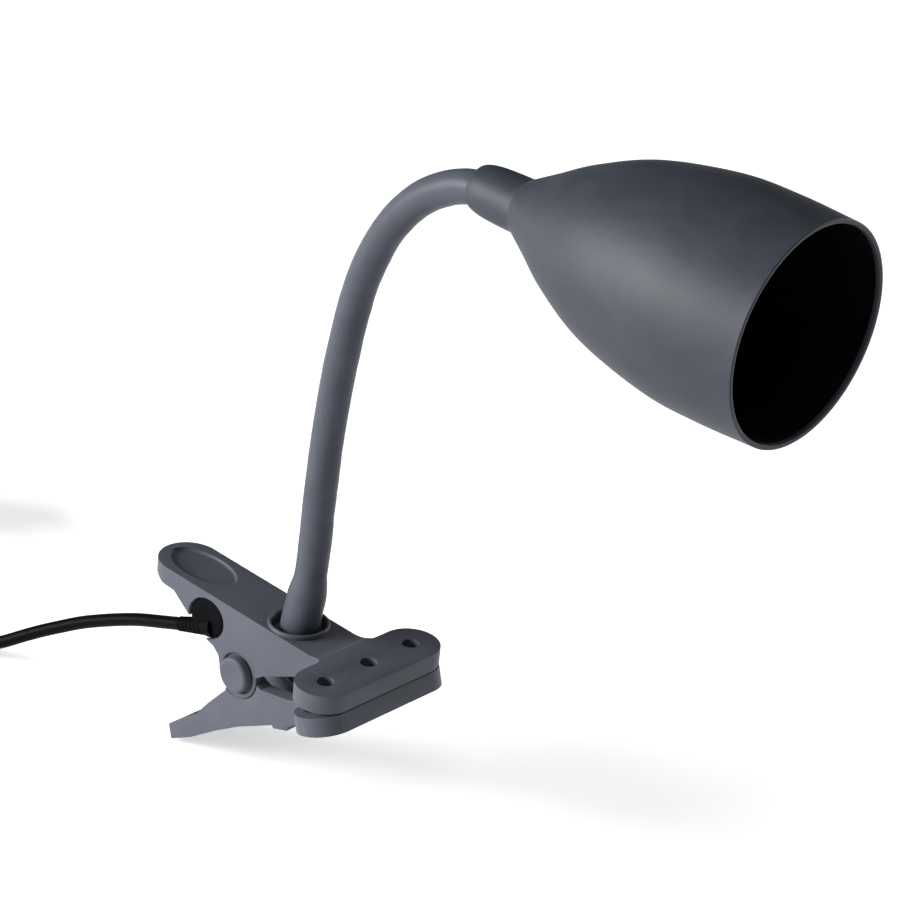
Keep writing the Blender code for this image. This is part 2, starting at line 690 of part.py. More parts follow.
def make_head(line):
    place_on_shade(turned("shade", shade_outline(), slate_plastic(), 44))
    end = PARTITION_AT + PARTITION_THICKNESS
    shoulder = PARTITION_AT - GAP
    tip = HOLDER_AT + 3.0 * MM
    fitting = [(8.5 * MM, 0.0), (8.5 * MM, 4.1 * MM), (16.0 * MM, 4.1 * MM), (16.0 * MM, 6.4 * MM),
               (shoulder, 6.4 * MM), (shoulder, 4.9 * MM), (tip, 4.9 * MM), (tip, 0.0)]
    place_on_shade(turned("neck_top_fitting", fitting, steel(), 24, False))
    nut_ends = (end + GAP, 0, 0), (end + 4.0 * MM, 0, 0)
    place_on_shade(ring("shade_locknut", 6.0 * MM, 8.8 * MM, *nut_ends, steel(), 6))
    a = HOLDER_AT
    cap = [(a, 5.2 * MM), (a, 8.0 * MM), (a + 4.0 * MM, 11.2 * MM), (a + 10.0 * MM, HOLDER_RADIUS),
           (a + 12.0 * MM, HOLDER_RADIUS), (a + 12.0 * MM, 11.2 * MM), (a + 5.0 * MM, 9.0 * MM),
           (a + 3.4 * MM, 5.2 * MM)]
    place_on_shade(turned("lampholder_cap", cap, black_plastic(), 28))
    b = a + 12.0 * MM + GAP
    body = [(b, 0.0), (b, HOLDER_RADIUS), (b + 33.0 * MM, HOLDER_RADIUS), (b + 33.0 * MM, 8.6 * MM),
            (b + 10.0 * MM, 8.6 * MM), (b + 8.0 * MM, 7.0 * MM), (b + 8.0 * MM, 0.0)]
    place_on_shade(turned("lampholder_body", body, black_plastic(), 28, False))
    shell = [(b + 12.0 * MM, 8.3 * MM), (b + 26.0 * MM, 8.3 * MM), (b + 26.0 * MM, 7.6 * MM),
             (b + 12.0 * MM, 7.6 * MM)]
    place_on_shade(turned("thread_shell", shell, brass(), 28))
    tongue_corners = (b + 8.3 * MM, -1.6 * MM, -4.5 * MM), (b + 9.0 * MM, 1.6 * MM, 4.5 * MM)
    tongue = box("centre_contact", *tongue_corners, brass())
    button_ends = (b + 8.6 * MM, 0, 0), (b + 11.0 * MM, 0, 0)
    join(tongue, cylinder("contact_button", 1.5 * MM, *button_ends, brass(), 14))
    place_on_shade(tongue)
    for change in tongue.modifiers:
        place_on_shade(change.object)
    skirt = [(b + 16.0 * MM, HOLDER_RADIUS + GAP), (b + 16.0 * MM, 17.0 * MM), (b + 22.0 * MM, 17.0 * MM),
             (b + 22.0 * MM, HOLDER_RADIUS + GAP)]
    place_on_shade(turned("lampholder_ring", skirt, black_plastic(), 28))


# ---------------------------------------------------------------- cord

def relief_shape(name, extra, finish):
    """The tapered relief round the cord where it leaves the near cheek."""
    along = (Vector(LEAD_ROUTE[0]) - Vector(LEAD_ROUTE[1])).normalized()
    tip = Vector(LEAD_ROUTE[0]) * MM + along * GAP
    outline = [(0.0, 0.0), (0.0, 3.0 * MM + extra), (20.0 * MM, 3.9 * MM + extra), (20.0 * MM, 0.0)]
    relief = turned(name, outline, finish, 20, False)
    turn = Vector((1.0, 0.0, 0.0)).rotation_difference(along).to_matrix().to_4x4()
    relief.data.transform(Matrix.Translation(tip) @ turn)
    return relief


def make_gland():
    """Black cord grip in the notch of the near cheek, with a short tapered relief along the cord."""
    face = -12.4 * MM
    back = -4.6 * MM
    grip = cylinder("cord_gland", 1.0, (0, -1.0, 0), (0, 1.0, 0), black_rubber(), 28)
    stretch = Matrix.Diagonal((NOTCH_LENGTH - 0.6 * MM, 0.5 * (back - face), NOTCH_HEIGHT - 0.8 * MM, 1.0))
    centre = Matrix.Translation((NOTCH_X, 0.5 * (face + back), NOTCH_Z))
    grip.data.transform(centre @ Matrix.Rotation(-NOTCH_TILT, 4, 'Y') @ stretch)
    return join(grip, relief_shape("cord_relief", 0.0, black_rubber()))


def make_cord_clamp():
    """Bar and two screws that hold the cord inside the body."""
    box("cord_clamp", (-63.0 * MM, -9.0 * MM, 2.2 * MM), (-57.0 * MM, 9.0 * MM, 4.6 * MM), black_plastic())
    for number, side in ((1, -1), (2, 1)):
        place = Vector((-60.0 * MM, side * 6.6 * MM, 0.0))
        head_ends = place + Vector((0, 0, 0.2 * MM)), place + Vector((0, 0, 1.9 * MM))
        cylinder(f"clamp_screw_{number}", 2.2 * MM, *head_ends, steel(), 16)


def make_switch():
    base_low = FLOOR
    split = FLOOR + 7.0 * MM
    top = FLOOR + SWITCH_HEIGHT
    half = 0.5 * SWITCH_LENGTH
    width = 0.5 * SWITCH_WIDTH
    outline = [(-half, 4.2 * MM), (-half + 9.0 * MM, width - 0.8 * MM), (-half + 16.0 * MM, width)]
    outline += [(-x, y) for x, y in reversed(outline)]
    outline += [(x, -y) for x, y in reversed(outline)]
    outline = [(SWITCH_CENTRE.x + x, SWITCH_CENTRE.y + y) for x, y in outline]
    base = prism("switch_base", outline, base_low, split - 0.5 * GAP, black_plastic())
    cover = prism("switch_cover", outline, split + 0.5 * GAP, top, black_plastic())
    centre = Vector((SWITCH_CENTRE.x, SWITCH_CENTRE.y, top))
    cut(cover, box("rocker_window", centre - Vector((9.4 * MM, 5.4 * MM, 7.0 * MM)),
                   centre + Vector((9.4 * MM, 5.4 * MM, 1.0 * MM)), black_plastic()))
    rocker_profile = [(-8.8 * MM, -2.2 * MM), (8.8 * MM, -2.2 * MM), (8.8 * MM, 0.2 * MM), (0.0, -0.6 * MM),
                      (-8.8 * MM, 2.6 * MM)]
    rocker = prism("switch_rocker", rocker_profile, -4.9 * MM, 4.9 * MM, black_plastic(), 'Y')
    rocker.location = centre - Vector((0, 0, 1.6 * MM))
    for number, side in ((1, -1), (2, 1)):
        place = Vector((SWITCH_CENTRE.x + side * 16.0 * MM, SWITCH_CENTRE.y, 0.0))
        hole = cylinder(f"switch_screw_hole_{number}", 2.2 * MM, place + Vector((0, 0, FLOOR - 0.01)),
                        place + Vector((0, 0, FLOOR + 2.6 * MM)), steel(), 16)
        cut(base, hole)
        cylinder(f"switch_screw_{number}", 1.8 * MM, place + Vector((0, 0, FLOOR + 0.6 * MM)),
                 place + Vector((0, 0, FLOOR + 2.3 * MM)), steel(), 16)


def coil_radii():
    half = 0.5 * COIL_TURNS_WIDE * 2.0 * CORD_RADIUS
    return COIL_MIDDLE_RADIUS - half, COIL_MIDDLE_RADIUS + half


def make_coil():
    inner, outer = coil_radii()
    height = COIL_TURNS_HIGH * 2.0 * CORD_RADIUS
    base = Vector((COIL_CENTRE.x, COIL_CENTRE.y, COIL_BASE))
    chamfer = 1.5 * MM
    outline = [(0.0, inner + chamfer), (0.0, outer - chamfer), (chamfer, outer), (height - chamfer, outer),
               (height, outer - chamfer), (height, inner + chamfer), (height - chamfer, inner),
               (chamfer, inner)]
    coil = turned("cord_coil", outline, black_rubber(), 36)
    coil.data.transform(Matrix.Translation(base) @ Matrix.Rotation(math.radians(-90.0), 4, 'Y'))
    return coil


def make_tie():
    """Strap round the coil's section, beside the switch."""
    inner, outer = coil_radii()
    height = COIL_TURNS_HIGH * 2.0 * CORD_RADIUS
    low = Vector((inner - 2.0 * GAP - TIE_THICKNESS, -3.0 * MM, -GAP - TIE_THICKNESS))
    high = Vector((outer + GAP + TIE_THICKNESS, 3.0 * MM, height + GAP + TIE_THICKNESS))
    wall = Vector((TIE_THICKNESS, -0.01, TIE_THICKNESS))
    strap = box("cord_tie", low, high, black_rubber())
    space = box("tie_space", low + wall, high - wall, black_rubber())
    turn = Matrix.Rotation(math.radians(-30.0), 4, 'Z')
    place = Matrix.Translation((COIL_CENTRE.x, COIL_CENTRE.y, COIL_BASE)) @ turn
    for item in (strap, space):
        item.matrix_world = place
    cut(strap, space)


def plug_tail_route():
    """From the top of the coil, round a bend over it, to the back of the plug."""
    top = COIL_BASE + COIL_TURNS_HIGH * 2.0 * CORD_RADIUS + CORD_RADIUS + GAP
    entry = COIL_BASE + COIL_TURNS_HIGH * 2.0 * CORD_RADIUS + GAP + 0.5 * PLUG_THICKNESS
    points = [(-31.0 * MM, -13.5 * MM), (-32.6 * MM, -6.5 * MM)]
    bend_centre = -PLUG_OFFSET
    for x, y in arc(bend_centre, 0.0, PLUG_TURN_RADIUS, 180.0, 90.0, 5):
        points.append((x, y))
    last = len(points) - 1
    route = []
    for index, (x, y) in enumerate(points):
        share = max(0.0, (index - 1) / (last - 1))
        rise = share * share * (3.0 - 2.0 * share)
        route.append(Vector((COIL_CENTRE.x + x, COIL_CENTRE.y + y, top + (entry - top) * rise)))
    return route


def make_plug():
    """Flat two-pin plug that lies across the coil, with its pins forward."""
    back = plug_tail_route()[-1] + Vector((1.1 * MM, 0.0, 0.0))
    relief_end = back + Vector((PLUG_RELIEF, 0.0, 0.0))
    body_end = relief_end + Vector((PLUG_LENGTH, 0.0, 0.0))
    half = 0.5 * PLUG_WIDTH
    neck_half = 6.0 * MM
    neck_end = 8.0 * MM
    outline = [(0.0, -neck_half), (neck_end, -half), (PLUG_LENGTH, -half), (PLUG_LENGTH, half),
               (neck_end, half), (0.0, neck_half)]
    outline = [(relief_end.x + x, relief_end.y + y) for x, y in outline]
    low = relief_end.z - 0.5 * PLUG_THICKNESS
    body = prism("plug_body", outline, low, low + PLUG_THICKNESS, black_plastic())
    relief = turned("plug_relief", [(0.0, 0.0), (0.0, 3.3 * MM), (12.0 * MM, 4.6 * MM), (12.0 * MM, 0.0)],
                    black_plastic(), 20, False)
    relief.location = back
    join(body, relief)
    for number, side in ((1, -1), (2, 1)):
        start = body_end + Vector((GAP, side * 0.5 * PLUG_PIN_PITCH, 0.0))
        pin = [(0.0, 0.0), (0.0, PLUG_PIN_RADIUS), (PLUG_PIN_LENGTH - 1.0 * MM, PLUG_PIN_RADIUS),
               (PLUG_PIN_LENGTH, 1.2 * MM), (PLUG_PIN_LENGTH, 0.0)]
        item = turned(f"plug_pin_{number}", pin, steel(), 16, False)
        item.location = start


def make_cord():
    spacing = 12.0 * MM
    routes = [("cord_lead", LEAD_ROUTE), ("cord_tail", TAIL_ROUTE)]
    for name, route in routes:
        points = smooth_points([Vector(point) * MM for point in route], spacing)
        tube(name, points, CORD_RADIUS, black_rubber())
    tube("plug_tail", smooth_points(plug_tail_route(), 8.0 * MM), CORD_RADIUS, black_rubber())


def build():
    clear_scene()
    make_clamp()
    make_spring()
    line = make_neck()
    make_neck_foot(line)
    make_head(line)
    make_gland()
    make_cord_clamp()
    make_switch()
    make_coil()
    make_tie()
    make_cord()
    make_plug()


build()
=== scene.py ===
"""Clip-on reading lamp: a sprung clip, a bendable sleeved neck, a bell shade, its flex and a stage."""

import math

import bpy
from bpy.props import FloatProperty, FloatVectorProperty, IntProperty, PointerProperty
from mathutils import Matrix, Vector, noise


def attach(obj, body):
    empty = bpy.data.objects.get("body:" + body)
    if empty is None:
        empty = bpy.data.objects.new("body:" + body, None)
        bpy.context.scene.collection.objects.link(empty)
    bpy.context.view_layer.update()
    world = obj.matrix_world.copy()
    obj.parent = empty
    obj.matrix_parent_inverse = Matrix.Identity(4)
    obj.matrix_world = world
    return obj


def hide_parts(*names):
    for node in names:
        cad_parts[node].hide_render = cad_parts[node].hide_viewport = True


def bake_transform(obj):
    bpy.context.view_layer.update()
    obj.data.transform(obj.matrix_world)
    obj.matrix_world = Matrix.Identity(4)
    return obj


bl_info = {
    "name": "Clip-on Reading Lamp",
    "version": (1, 0, 0),
    "blender": (4, 5, 0),
    "location": "View3D > Sidebar > Lamp",
    "description": "Builds a clip-on reading lamp with a bendable neck, its flex and a studio stage",
    "category": "Object",
}

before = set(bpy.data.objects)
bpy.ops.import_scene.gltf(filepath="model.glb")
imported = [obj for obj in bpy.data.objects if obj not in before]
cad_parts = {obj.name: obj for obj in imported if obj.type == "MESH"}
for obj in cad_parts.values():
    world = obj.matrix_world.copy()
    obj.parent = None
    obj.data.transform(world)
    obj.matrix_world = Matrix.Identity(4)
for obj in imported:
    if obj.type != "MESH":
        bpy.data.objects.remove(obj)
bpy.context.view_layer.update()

MM = 0.001
GAP = 0.3 * MM
X_AXIS = Vector((1.0, 0.0, 0.0))
Y_AXIS = Vector((0.0, 1.0, 0.0))

# Clip, in the upper lever's frame: the grip pad's face is at the origin
HOLE_PITCH = 23.4 * MM
HOLE_RADIUS = 3.3 * MM
LOBE_RADIUS = 11.8 * MM
JAW_TOP = 7.8 * MM
JAW_UNDERSIDE = 0.3 * MM
BODY_HALF_WIDTH = 12.9 * MM
WALL = 3.0 * MM
PLATE = 3.0 * MM
HANDLE_END_X = -112.0 * MM
TOP_SLOPE = 0.0465
PIVOT = Vector((-56.2 * MM, 0.0, -18.3 * MM))
CAP_RADIUS = 7.4 * MM
CAP_THICKNESS = 3.8 * MM
CAP_RECESS = 1.0 * MM
EAR_RADIUS = 10.2 * MM
LOWER_TILT = math.radians(17.2)
LOWER_JAW_X = LOBE_RADIUS + 70.56 * MM - 2.0 * LOBE_RADIUS
LOWER_JAW_TOP = -2.7 * MM
PAD_THICKNESS = 1.8 * MM
PAD_RADIUS = 6.0 * MM
PAD_BACK = 2.3 * MM
NOTCH_X = -75.5 * MM
NOTCH_Z = -2.3 * MM
NOTCH_TILT = math.radians(21.0)

# Neck and head
SOCKET_X = -37.6 * MM
SOCKET_RADIUS = 12.2 * MM
RECESS_RADIUS = 10.8 * MM
SOCKET_DEPTH = 4.4 * MM
SOCKET_FLOOR = 3.0 * MM
SLEEVE_RADIUS = 6.35 * MM
FOOT_RADIUS = 7.7 * MM
CONDUIT_ROOT = 3.9 * MM
CONDUIT_CREST = 4.3 * MM
CONDUIT_PITCH = 2.4 * MM
NECK_ROUTE = [
    (-37.4, 4.6), (-36.2, 12.5), (-34.8, 20.0), (-33.7, 28.0), (-33.0, 37.0), (-32.5, 48.0),
    (-32.3, 60.0), (-31.8, 72.0), (-31.1, 84.0), (-30.2, 96.0), (-29.1, 108.0), (-27.6, 120.0),
    (-25.7, 132.0), (-23.3, 145.0), (-20.4, 157.0), (-16.4, 168.5), (-10.8, 180.0), (-3.2, 191.0),
    (5.6, 200.0), (15.6, 206.6), (25.0, 210.6), (35.0, 212.3),
]
NECK_JOINT_FRACTIONS = (0.20, 0.37, 0.53, 0.69, 0.84)
SHADE_ORIGIN = Vector((31.0 * MM, 0.0, 212.5 * MM))
SHADE_PITCH = math.radians(1.6)
SHADE_WALL = 1.8
COLLAR = [
    (0.0, 7.6), (0.25, 8.0), (0.8, 8.35), (2.0, 8.75), (3.5, 9.1), (5.5, 9.4), (8.0, 9.65),
    (11.0, 9.8), (14.5, 9.93), (18.0, 10.0), (21.2, 10.05), (21.9, 10.2), (22.5, 10.5),
]
BELL = [(23.2, 11.0), (33.2, 16.7), (47.7, 25.0), (69.4, 34.0), (98.4, 39.9), (120.2, 40.8), (143.6, 40.0)]
HOLDER_AT = 38.0 * MM

# Flex
CORD_RADIUS = 2.7 * MM
FLOOR = -65.9 * MM
LEAD_ROUTE = [
    (-92.3, -10.0, -13.0), (-103.6, -10.0, -17.1), (-115.1, -10.0, -21.3), (-126.1, -10.6, -25.9),
    (-136.8, -11.6, -30.8), (-146.9, -13.2, -35.7), (-156.4, -15.5, -41.0), (-165.2, -18.4, -46.0),
    (-173.6, -21.6, -51.2), (-181.9, -24.4, -56.5), (-191.5, -27.2, -61.3), (-203.0, -29.8, -63.0),
    (-215.0, -32.2, -63.0), (-227.0, -34.0, -61.4), (-238.1, -34.4, -60.0),
]
TAIL_ROUTE = [(-298.0, -34.4, -60.0), (-305.0, -34.2, -61.4), (-313.5, -33.1, -62.1), (-321.5, -31.4, -62.1),
              (-328.5, -29.7, -62.1)]
SWITCH_CENTRE = Vector((-268.0 * MM, -34.4 * MM, 0.0))
SWITCH_LENGTH = 58.0 * MM
SWITCH_WIDTH = 21.0 * MM
SWITCH_HEIGHT = 15.0 * MM
SWITCH_SCREW_OFFSET = 16.0 * MM
COIL_CENTRE = Vector((-322.0 * MM, 9.0 * MM, 0.0))
COIL_RADII = (33.4 * MM, 28.0 * MM, 22.6 * MM)
TIE_THICKNESS = 0.8 * MM
COIL_BASE = FLOOR + TIE_THICKNESS + GAP
COIL_HEIGHT = 4.0 * CORD_RADIUS
PLUG_TURN_RADIUS = 22.0 * MM
PLUG_OFFSET = 11.0 * MM
PLUG_RELIEF = 10.0 * MM
PLUG_LENGTH = 34.0 * MM
PLUG_WIDTH = 34.0 * MM
PLUG_THICKNESS = 13.7 * MM
PLUG_PIN_RADIUS = 2.0 * MM
PLUG_PIN_PITCH = 18.6 * MM
PLUG_PIN_LENGTH = 19.0 * MM

LIGHT_AIM = Vector((0.0, 0.0, 0.1))


# ---------------------------------------------------------------- settings

def colour_setting(label, about, default):
    return FloatVectorProperty(name=label, description=about, subtype='COLOR', size=3, min=0.0, max=1.0,
                               default=default)


def length_setting(label, about, default, **limits):
    return FloatProperty(name=label, description=about, subtype='DISTANCE', unit='LENGTH', default=default,
                         **limits)


def angle_setting(label, about, degrees):
    return FloatProperty(name=label, description=about, subtype='ANGLE', default=math.radians(degrees))


class LampColours(bpy.types.PropertyGroup):
    """Colours of the lamp's finishes, in linear light."""

    clip: colour_setting("Clip", "Colour of the moulded clip", (0.067, 0.073, 0.090))
    shade: colour_setting("Shade", "Colour of the outside of the shade", (0.0252, 0.0294, 0.0392))
    sleeve: colour_setting("Sleeve", "Colour of the neck's sleeve", (0.052, 0.058, 0.073))
    black: colour_setting("Black parts", "Colour of the flex, plug, switch and lampholder",
                          (0.0018, 0.0018, 0.0024))
    metal: colour_setting("Metal", "Colour of the zinc-plated parts", (0.58, 0.59, 0.6))
    brass: colour_setting("Brass", "Colour of the lampholder's contacts", (0.72, 0.52, 0.24))


class LampSizes(bpy.types.PropertyGroup):
    """Sizes that change how finely or softly the lamp is moulded."""

    edge: length_setting("Edge radius", "Radius of the clip's outer edges", 0.0009, min=0.0002, max=0.002)
    turns: IntProperty(name="Turned facets", description="Facets round each turned piece", min=24, max=160,
                       default=96)
    dents: length_setting("Sleeve dents", "Depth of the dents in the neck's sleeve", 0.00022,
                          min=0.0, max=0.001)


class StageSettings(bpy.types.PropertyGroup):
    """Where the camera stands, what it aims at and its lens."""

    azimuth: angle_setting("Azimuth", "Direction the camera stands in, from the near side", 40.06)
    elevation: angle_setting("Elevation", "Camera's height as an angle", 25.78)
    roll: angle_setting("Roll", "Lean of the camera", 5.85)
    distance: length_setting("Distance", "Camera to the point it aims at", 1.2)
    lens: FloatProperty(name="Lens", description="Focal length in millimetres on a 36 mm sensor",
                        default=128.0)
    aim: FloatVectorProperty(name="Aim", description="Point the camera aims at", subtype='XYZ', size=3,
                             default=(0.0049, 0.0294, 0.0912))


# ---------------------------------------------------------------- modelling

def clear_selection():
    if bpy.context.mode != 'OBJECT':
        bpy.ops.object.mode_set(mode='OBJECT')
    bpy.ops.object.select_all(action='DESELECT')


def activate(piece):
    clear_selection()
    piece.select_set(True)
    bpy.context.view_layer.objects.active = piece
    return piece


def named(piece, name):
    piece.name = name
    piece.data.name = name
    return piece


def edit_all():
    """Enters edit mode with everything selected."""
    bpy.ops.object.mode_set(mode='EDIT')
    bpy.ops.mesh.select_all(action='SELECT')


def leave_edit():
    bpy.ops.object.mode_set(mode='OBJECT')


def extrude_by(step):
    bpy.ops.mesh.extrude_region_move(TRANSFORM_OT_translate={"value": step})


def mm(outline, start=0.0):
    """An outline in millimetres as one in metres, moved along its first axis."""
    return [(start + a * MM, b * MM) for a, b in outline]


def draw(name, points, closed=True):
    """Draws an outline by extruding one vertex from point to point, and fills it if it is closed."""
    clear_selection()
    bpy.ops.mesh.primitive_plane_add(size=MM)
    piece = named(bpy.context.active_object, name)
    bpy.ops.object.mode_set(mode='EDIT')
    bpy.ops.mesh.merge(type='CENTER')
    bpy.ops.transform.translate(value=points[0])
    for before, after in zip(points, points[1:]):
        extrude_by(Vector(after) - Vector(before))
    if closed:
        bpy.ops.mesh.select_all(action='SELECT')
        bpy.ops.mesh.edge_face_add()
    leave_edit()
    return piece


def tidy(piece, distance=1e-6):
    """Merges doubles and turns every face outwards."""
    activate(piece)
    edit_all()
    bpy.ops.mesh.remove_doubles(threshold=distance)
    bpy.ops.mesh.normals_make_consistent(inside=False)
    leave_edit()
    return piece


def slab(name, outline, low, high, direction='Z'):
    """Extrudes a drawn outline. Along Z the outline is (x, y), and along Y it is (x, z)."""
    if direction == 'Z':
        points = [Vector((a, b, low)) for a, b in outline]
        step = Vector((0.0, 0.0, high - low))
    else:
        points = [Vector((a, low, b)) for a, b in outline]
        step = Vector((0.0, high - low, 0.0))
    piece = draw(name, points)
    edit_all()
    extrude_by(step)
    leave_edit()
    return tidy(piece)


def turned(name, outline, sides=0, closed=True):
    """Spins an outline of (along, radius) points about +X. An open outline ends on the axis."""
    sides = sides or bpy.context.scene.lamp_sizes.turns
    ends = outline + [outline[0]] if closed else outline
    piece = draw(name, [Vector((along, 0.0, radius)) for along, radius in ends], closed=False)
    edit_all()
    bpy.ops.mesh.spin(steps=sides, angle=2.0 * math.pi, center=(0.0, 0.0, 0.0), axis=(1.0, 0.0, 0.0))
    leave_edit()
    return tidy(piece)


def put(piece, matrix):
    """Moves a piece and applies the move to its mesh."""
    activate(piece)
    piece.matrix_world = matrix
    bpy.ops.object.transform_apply(location=True, rotation=True, scale=True)
    return piece


def along_y(place, side):
    return Matrix.Translation(place) @ Matrix.Rotation(side * math.radians(90.0), 4, 'Z')


def upright(place):
    return Matrix.Translation(place) @ Matrix.Rotation(math.radians(-90.0), 4, 'Y')


def head_down(place):
    return Matrix.Translation(place) @ Matrix.Rotation(math.radians(90.0), 4, 'Y')


def facing(direction):
    """The turn that brings +X onto a direction."""
    return X_AXIS.rotation_difference(direction).to_matrix().to_4x4()


def on_shade():
    return Matrix.Translation(SHADE_ORIGIN) @ Matrix.Rotation(SHADE_PITCH, 4, 'Y')


def on_lower():
    return Matrix.Translation(PIVOT) @ Matrix.Rotation(-LOWER_TILT, 4, 'Y')


def on_notch(y, width, height):
    """Scales a turned piece to the flex's oval opening and stands it in the near cheek."""
    lean = Matrix.Rotation(-NOTCH_TILT, 4, 'Y') @ Matrix.Rotation(math.radians(-90.0), 4, 'Z')
    stretch = Matrix.Diagonal((1.0, width, height, 1.0))
    return Matrix.Translation((NOTCH_X, y, NOTCH_Z)) @ lean @ stretch


def modified(piece, kind, **settings):
    """Adds a modifier with its settings and applies it."""
    activate(piece)
    bpy.ops.object.modifier_add(type=kind)
    change = piece.modifiers[-1]
    for key, value in settings.items():
        setattr(change, key, value)
    bpy.ops.object.modifier_apply(modifier=change.name)
    return piece


def combine(piece, *others, operation='DIFFERENCE'):
    """Applies Booleans with other pieces, which are used up."""
    for other in others:
        modified(piece, 'BOOLEAN', operation=operation, object=other, solver='EXACT')
        activate(other)
        bpy.ops.object.delete()
    return activate(piece)


def soften(piece, width, segments=3, angle=38.0):
    """Rounds the edges sharper than an angle."""
    return modified(piece, 'BEVEL', width=width, segments=segments, limit_method='ANGLE',
                    angle_limit=math.radians(angle), use_clamp_overlap=True, miter_outer='MITER_ARC')


def block(name, low, high, edge=0.0, segments=3):
    """A box between two corners with its edges rounded."""
    clear_selection()
    low, high = Vector(low), Vector(high)
    bpy.ops.mesh.primitive_cube_add(size=1.0, location=(low + high) / 2.0, scale=high - low)
    piece = named(bpy.context.active_object, name)
    bpy.ops.object.transform_apply(location=True, rotation=True, scale=True)
    if edge > 0.0:
        edit_all()
        bpy.ops.mesh.bevel(offset=edge, segments=segments, affect='EDGES')
        leave_edit()
    return piece


def join_up(name, *pieces):
    """Makes one object of several closed shells."""
    activate(pieces[0])
    for piece in pieces[1:]:
        piece.select_set(True)
    bpy.ops.object.join()
    return named(bpy.context.active_object, name)


def copy_of(piece, name):
    activate(piece)
    bpy.ops.object.duplicate(linked=False)
    return named(bpy.context.active_object, name)


def done(piece, look, body, *nodes, angle=30.0):
    """Shades, paints and hangs a finished piece on its body, in place of CAD nodes."""
    if piece.type == 'MESH':
        activate(piece)
        bpy.ops.object.shade_smooth_by_angle(angle=math.radians(angle))
    piece.data.materials.clear()
    piece.data.materials.append(finish(look))
    if nodes:
        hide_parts(*nodes)
    if body:
        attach(piece, body)
    return piece


def arc(centre_x, centre_y, radius, start_deg, end_deg, steps):
    points = []
    for step in range(steps + 1):
        angle = math.radians(start_deg + (end_deg - start_deg) * step / steps)
        points.append((centre_x + radius * math.cos(angle), centre_y + radius * math.sin(angle)))
    return points


def smooth_points(route, spacing):
    """Points at an even spacing on a Catmull-Rom curve through the route."""
    route = [Vector(point) for point in route]
    padded = [2.0 * route[0] - route[1]] + route + [2.0 * route[-1] - route[-2]]
    fine = []
    steps = 24
    for before, start, end, after in zip(padded, padded[1:], padded[2:], padded[3:]):
        for step in range(steps):
            t = step / steps
            fine.append(0.5 * (2.0 * start + (end - before) * t
                               + (2.0 * before - 5.0 * start + 4.0 * end - after) * t * t
                               + (3.0 * start - before - 3.0 * end + after) * t ** 3))
    fine.append(route[-1])
    travelled = [0.0]
    for first, second in zip(fine, fine[1:]):
        travelled.append(travelled[-1] + (second - first).length)
    count = max(2, round(travelled[-1] / spacing))
    points = []
    index = 0
    for step in range(count + 1):
        target = travelled[-1] * step / count
        while index < len(fine) - 2 and travelled[index + 1] < target:
            index += 1
        share = (target - travelled[index]) / (travelled[index + 1] - travelled[index])
        points.append(fine[index].lerp(fine[index + 1], min(1.0, max(0.0, share))))
    return points


def route_length(points):
    return sum((b - a).length for a, b in zip(points, points[1:]))


def tube(name, points, radius, sides=4):
    """A round bent rod as a curve with filled ends."""
    curve = bpy.data.curves.new(name, 'CURVE')
    curve.dimensions = '3D'
    curve.bevel_depth = radius
    curve.bevel_resolution = sides
    curve.use_fill_caps = True
    curve.resolution_u = 1
    spline = curve.splines.new('POLY')
    spline.points.add(len(points) - 1)
    for place, point in zip(spline.points, points):
        place.co = (*point, 1.0)
    piece = bpy.data.objects.new(name, curve)
    bpy.context.scene.collection.objects.link(piece)
    return piece


def as_mesh(piece):
    activate(piece)
    bpy.ops.object.convert(target='MESH')
    return tidy(bpy.context.active_object)


# ---------------------------------------------------------------- finishes

class Value:
    """A number socket that works in arithmetic, adding its Math nodes."""

    def __init__(self, paint, socket):
        self.paint = paint
        self.socket = socket

    def _with(self, operation, other):
        made = self.paint.node('ShaderNodeMath', {"operation": operation}, {0: self, 1: other})
        return Value(self.paint, made.outputs[0])

    def __add__(self, other):
        return self._with('ADD', other)

    __radd__ = __add__

    def __mul__(self, other):
        return self._with('MULTIPLY', other)

    __rmul__ = __mul__


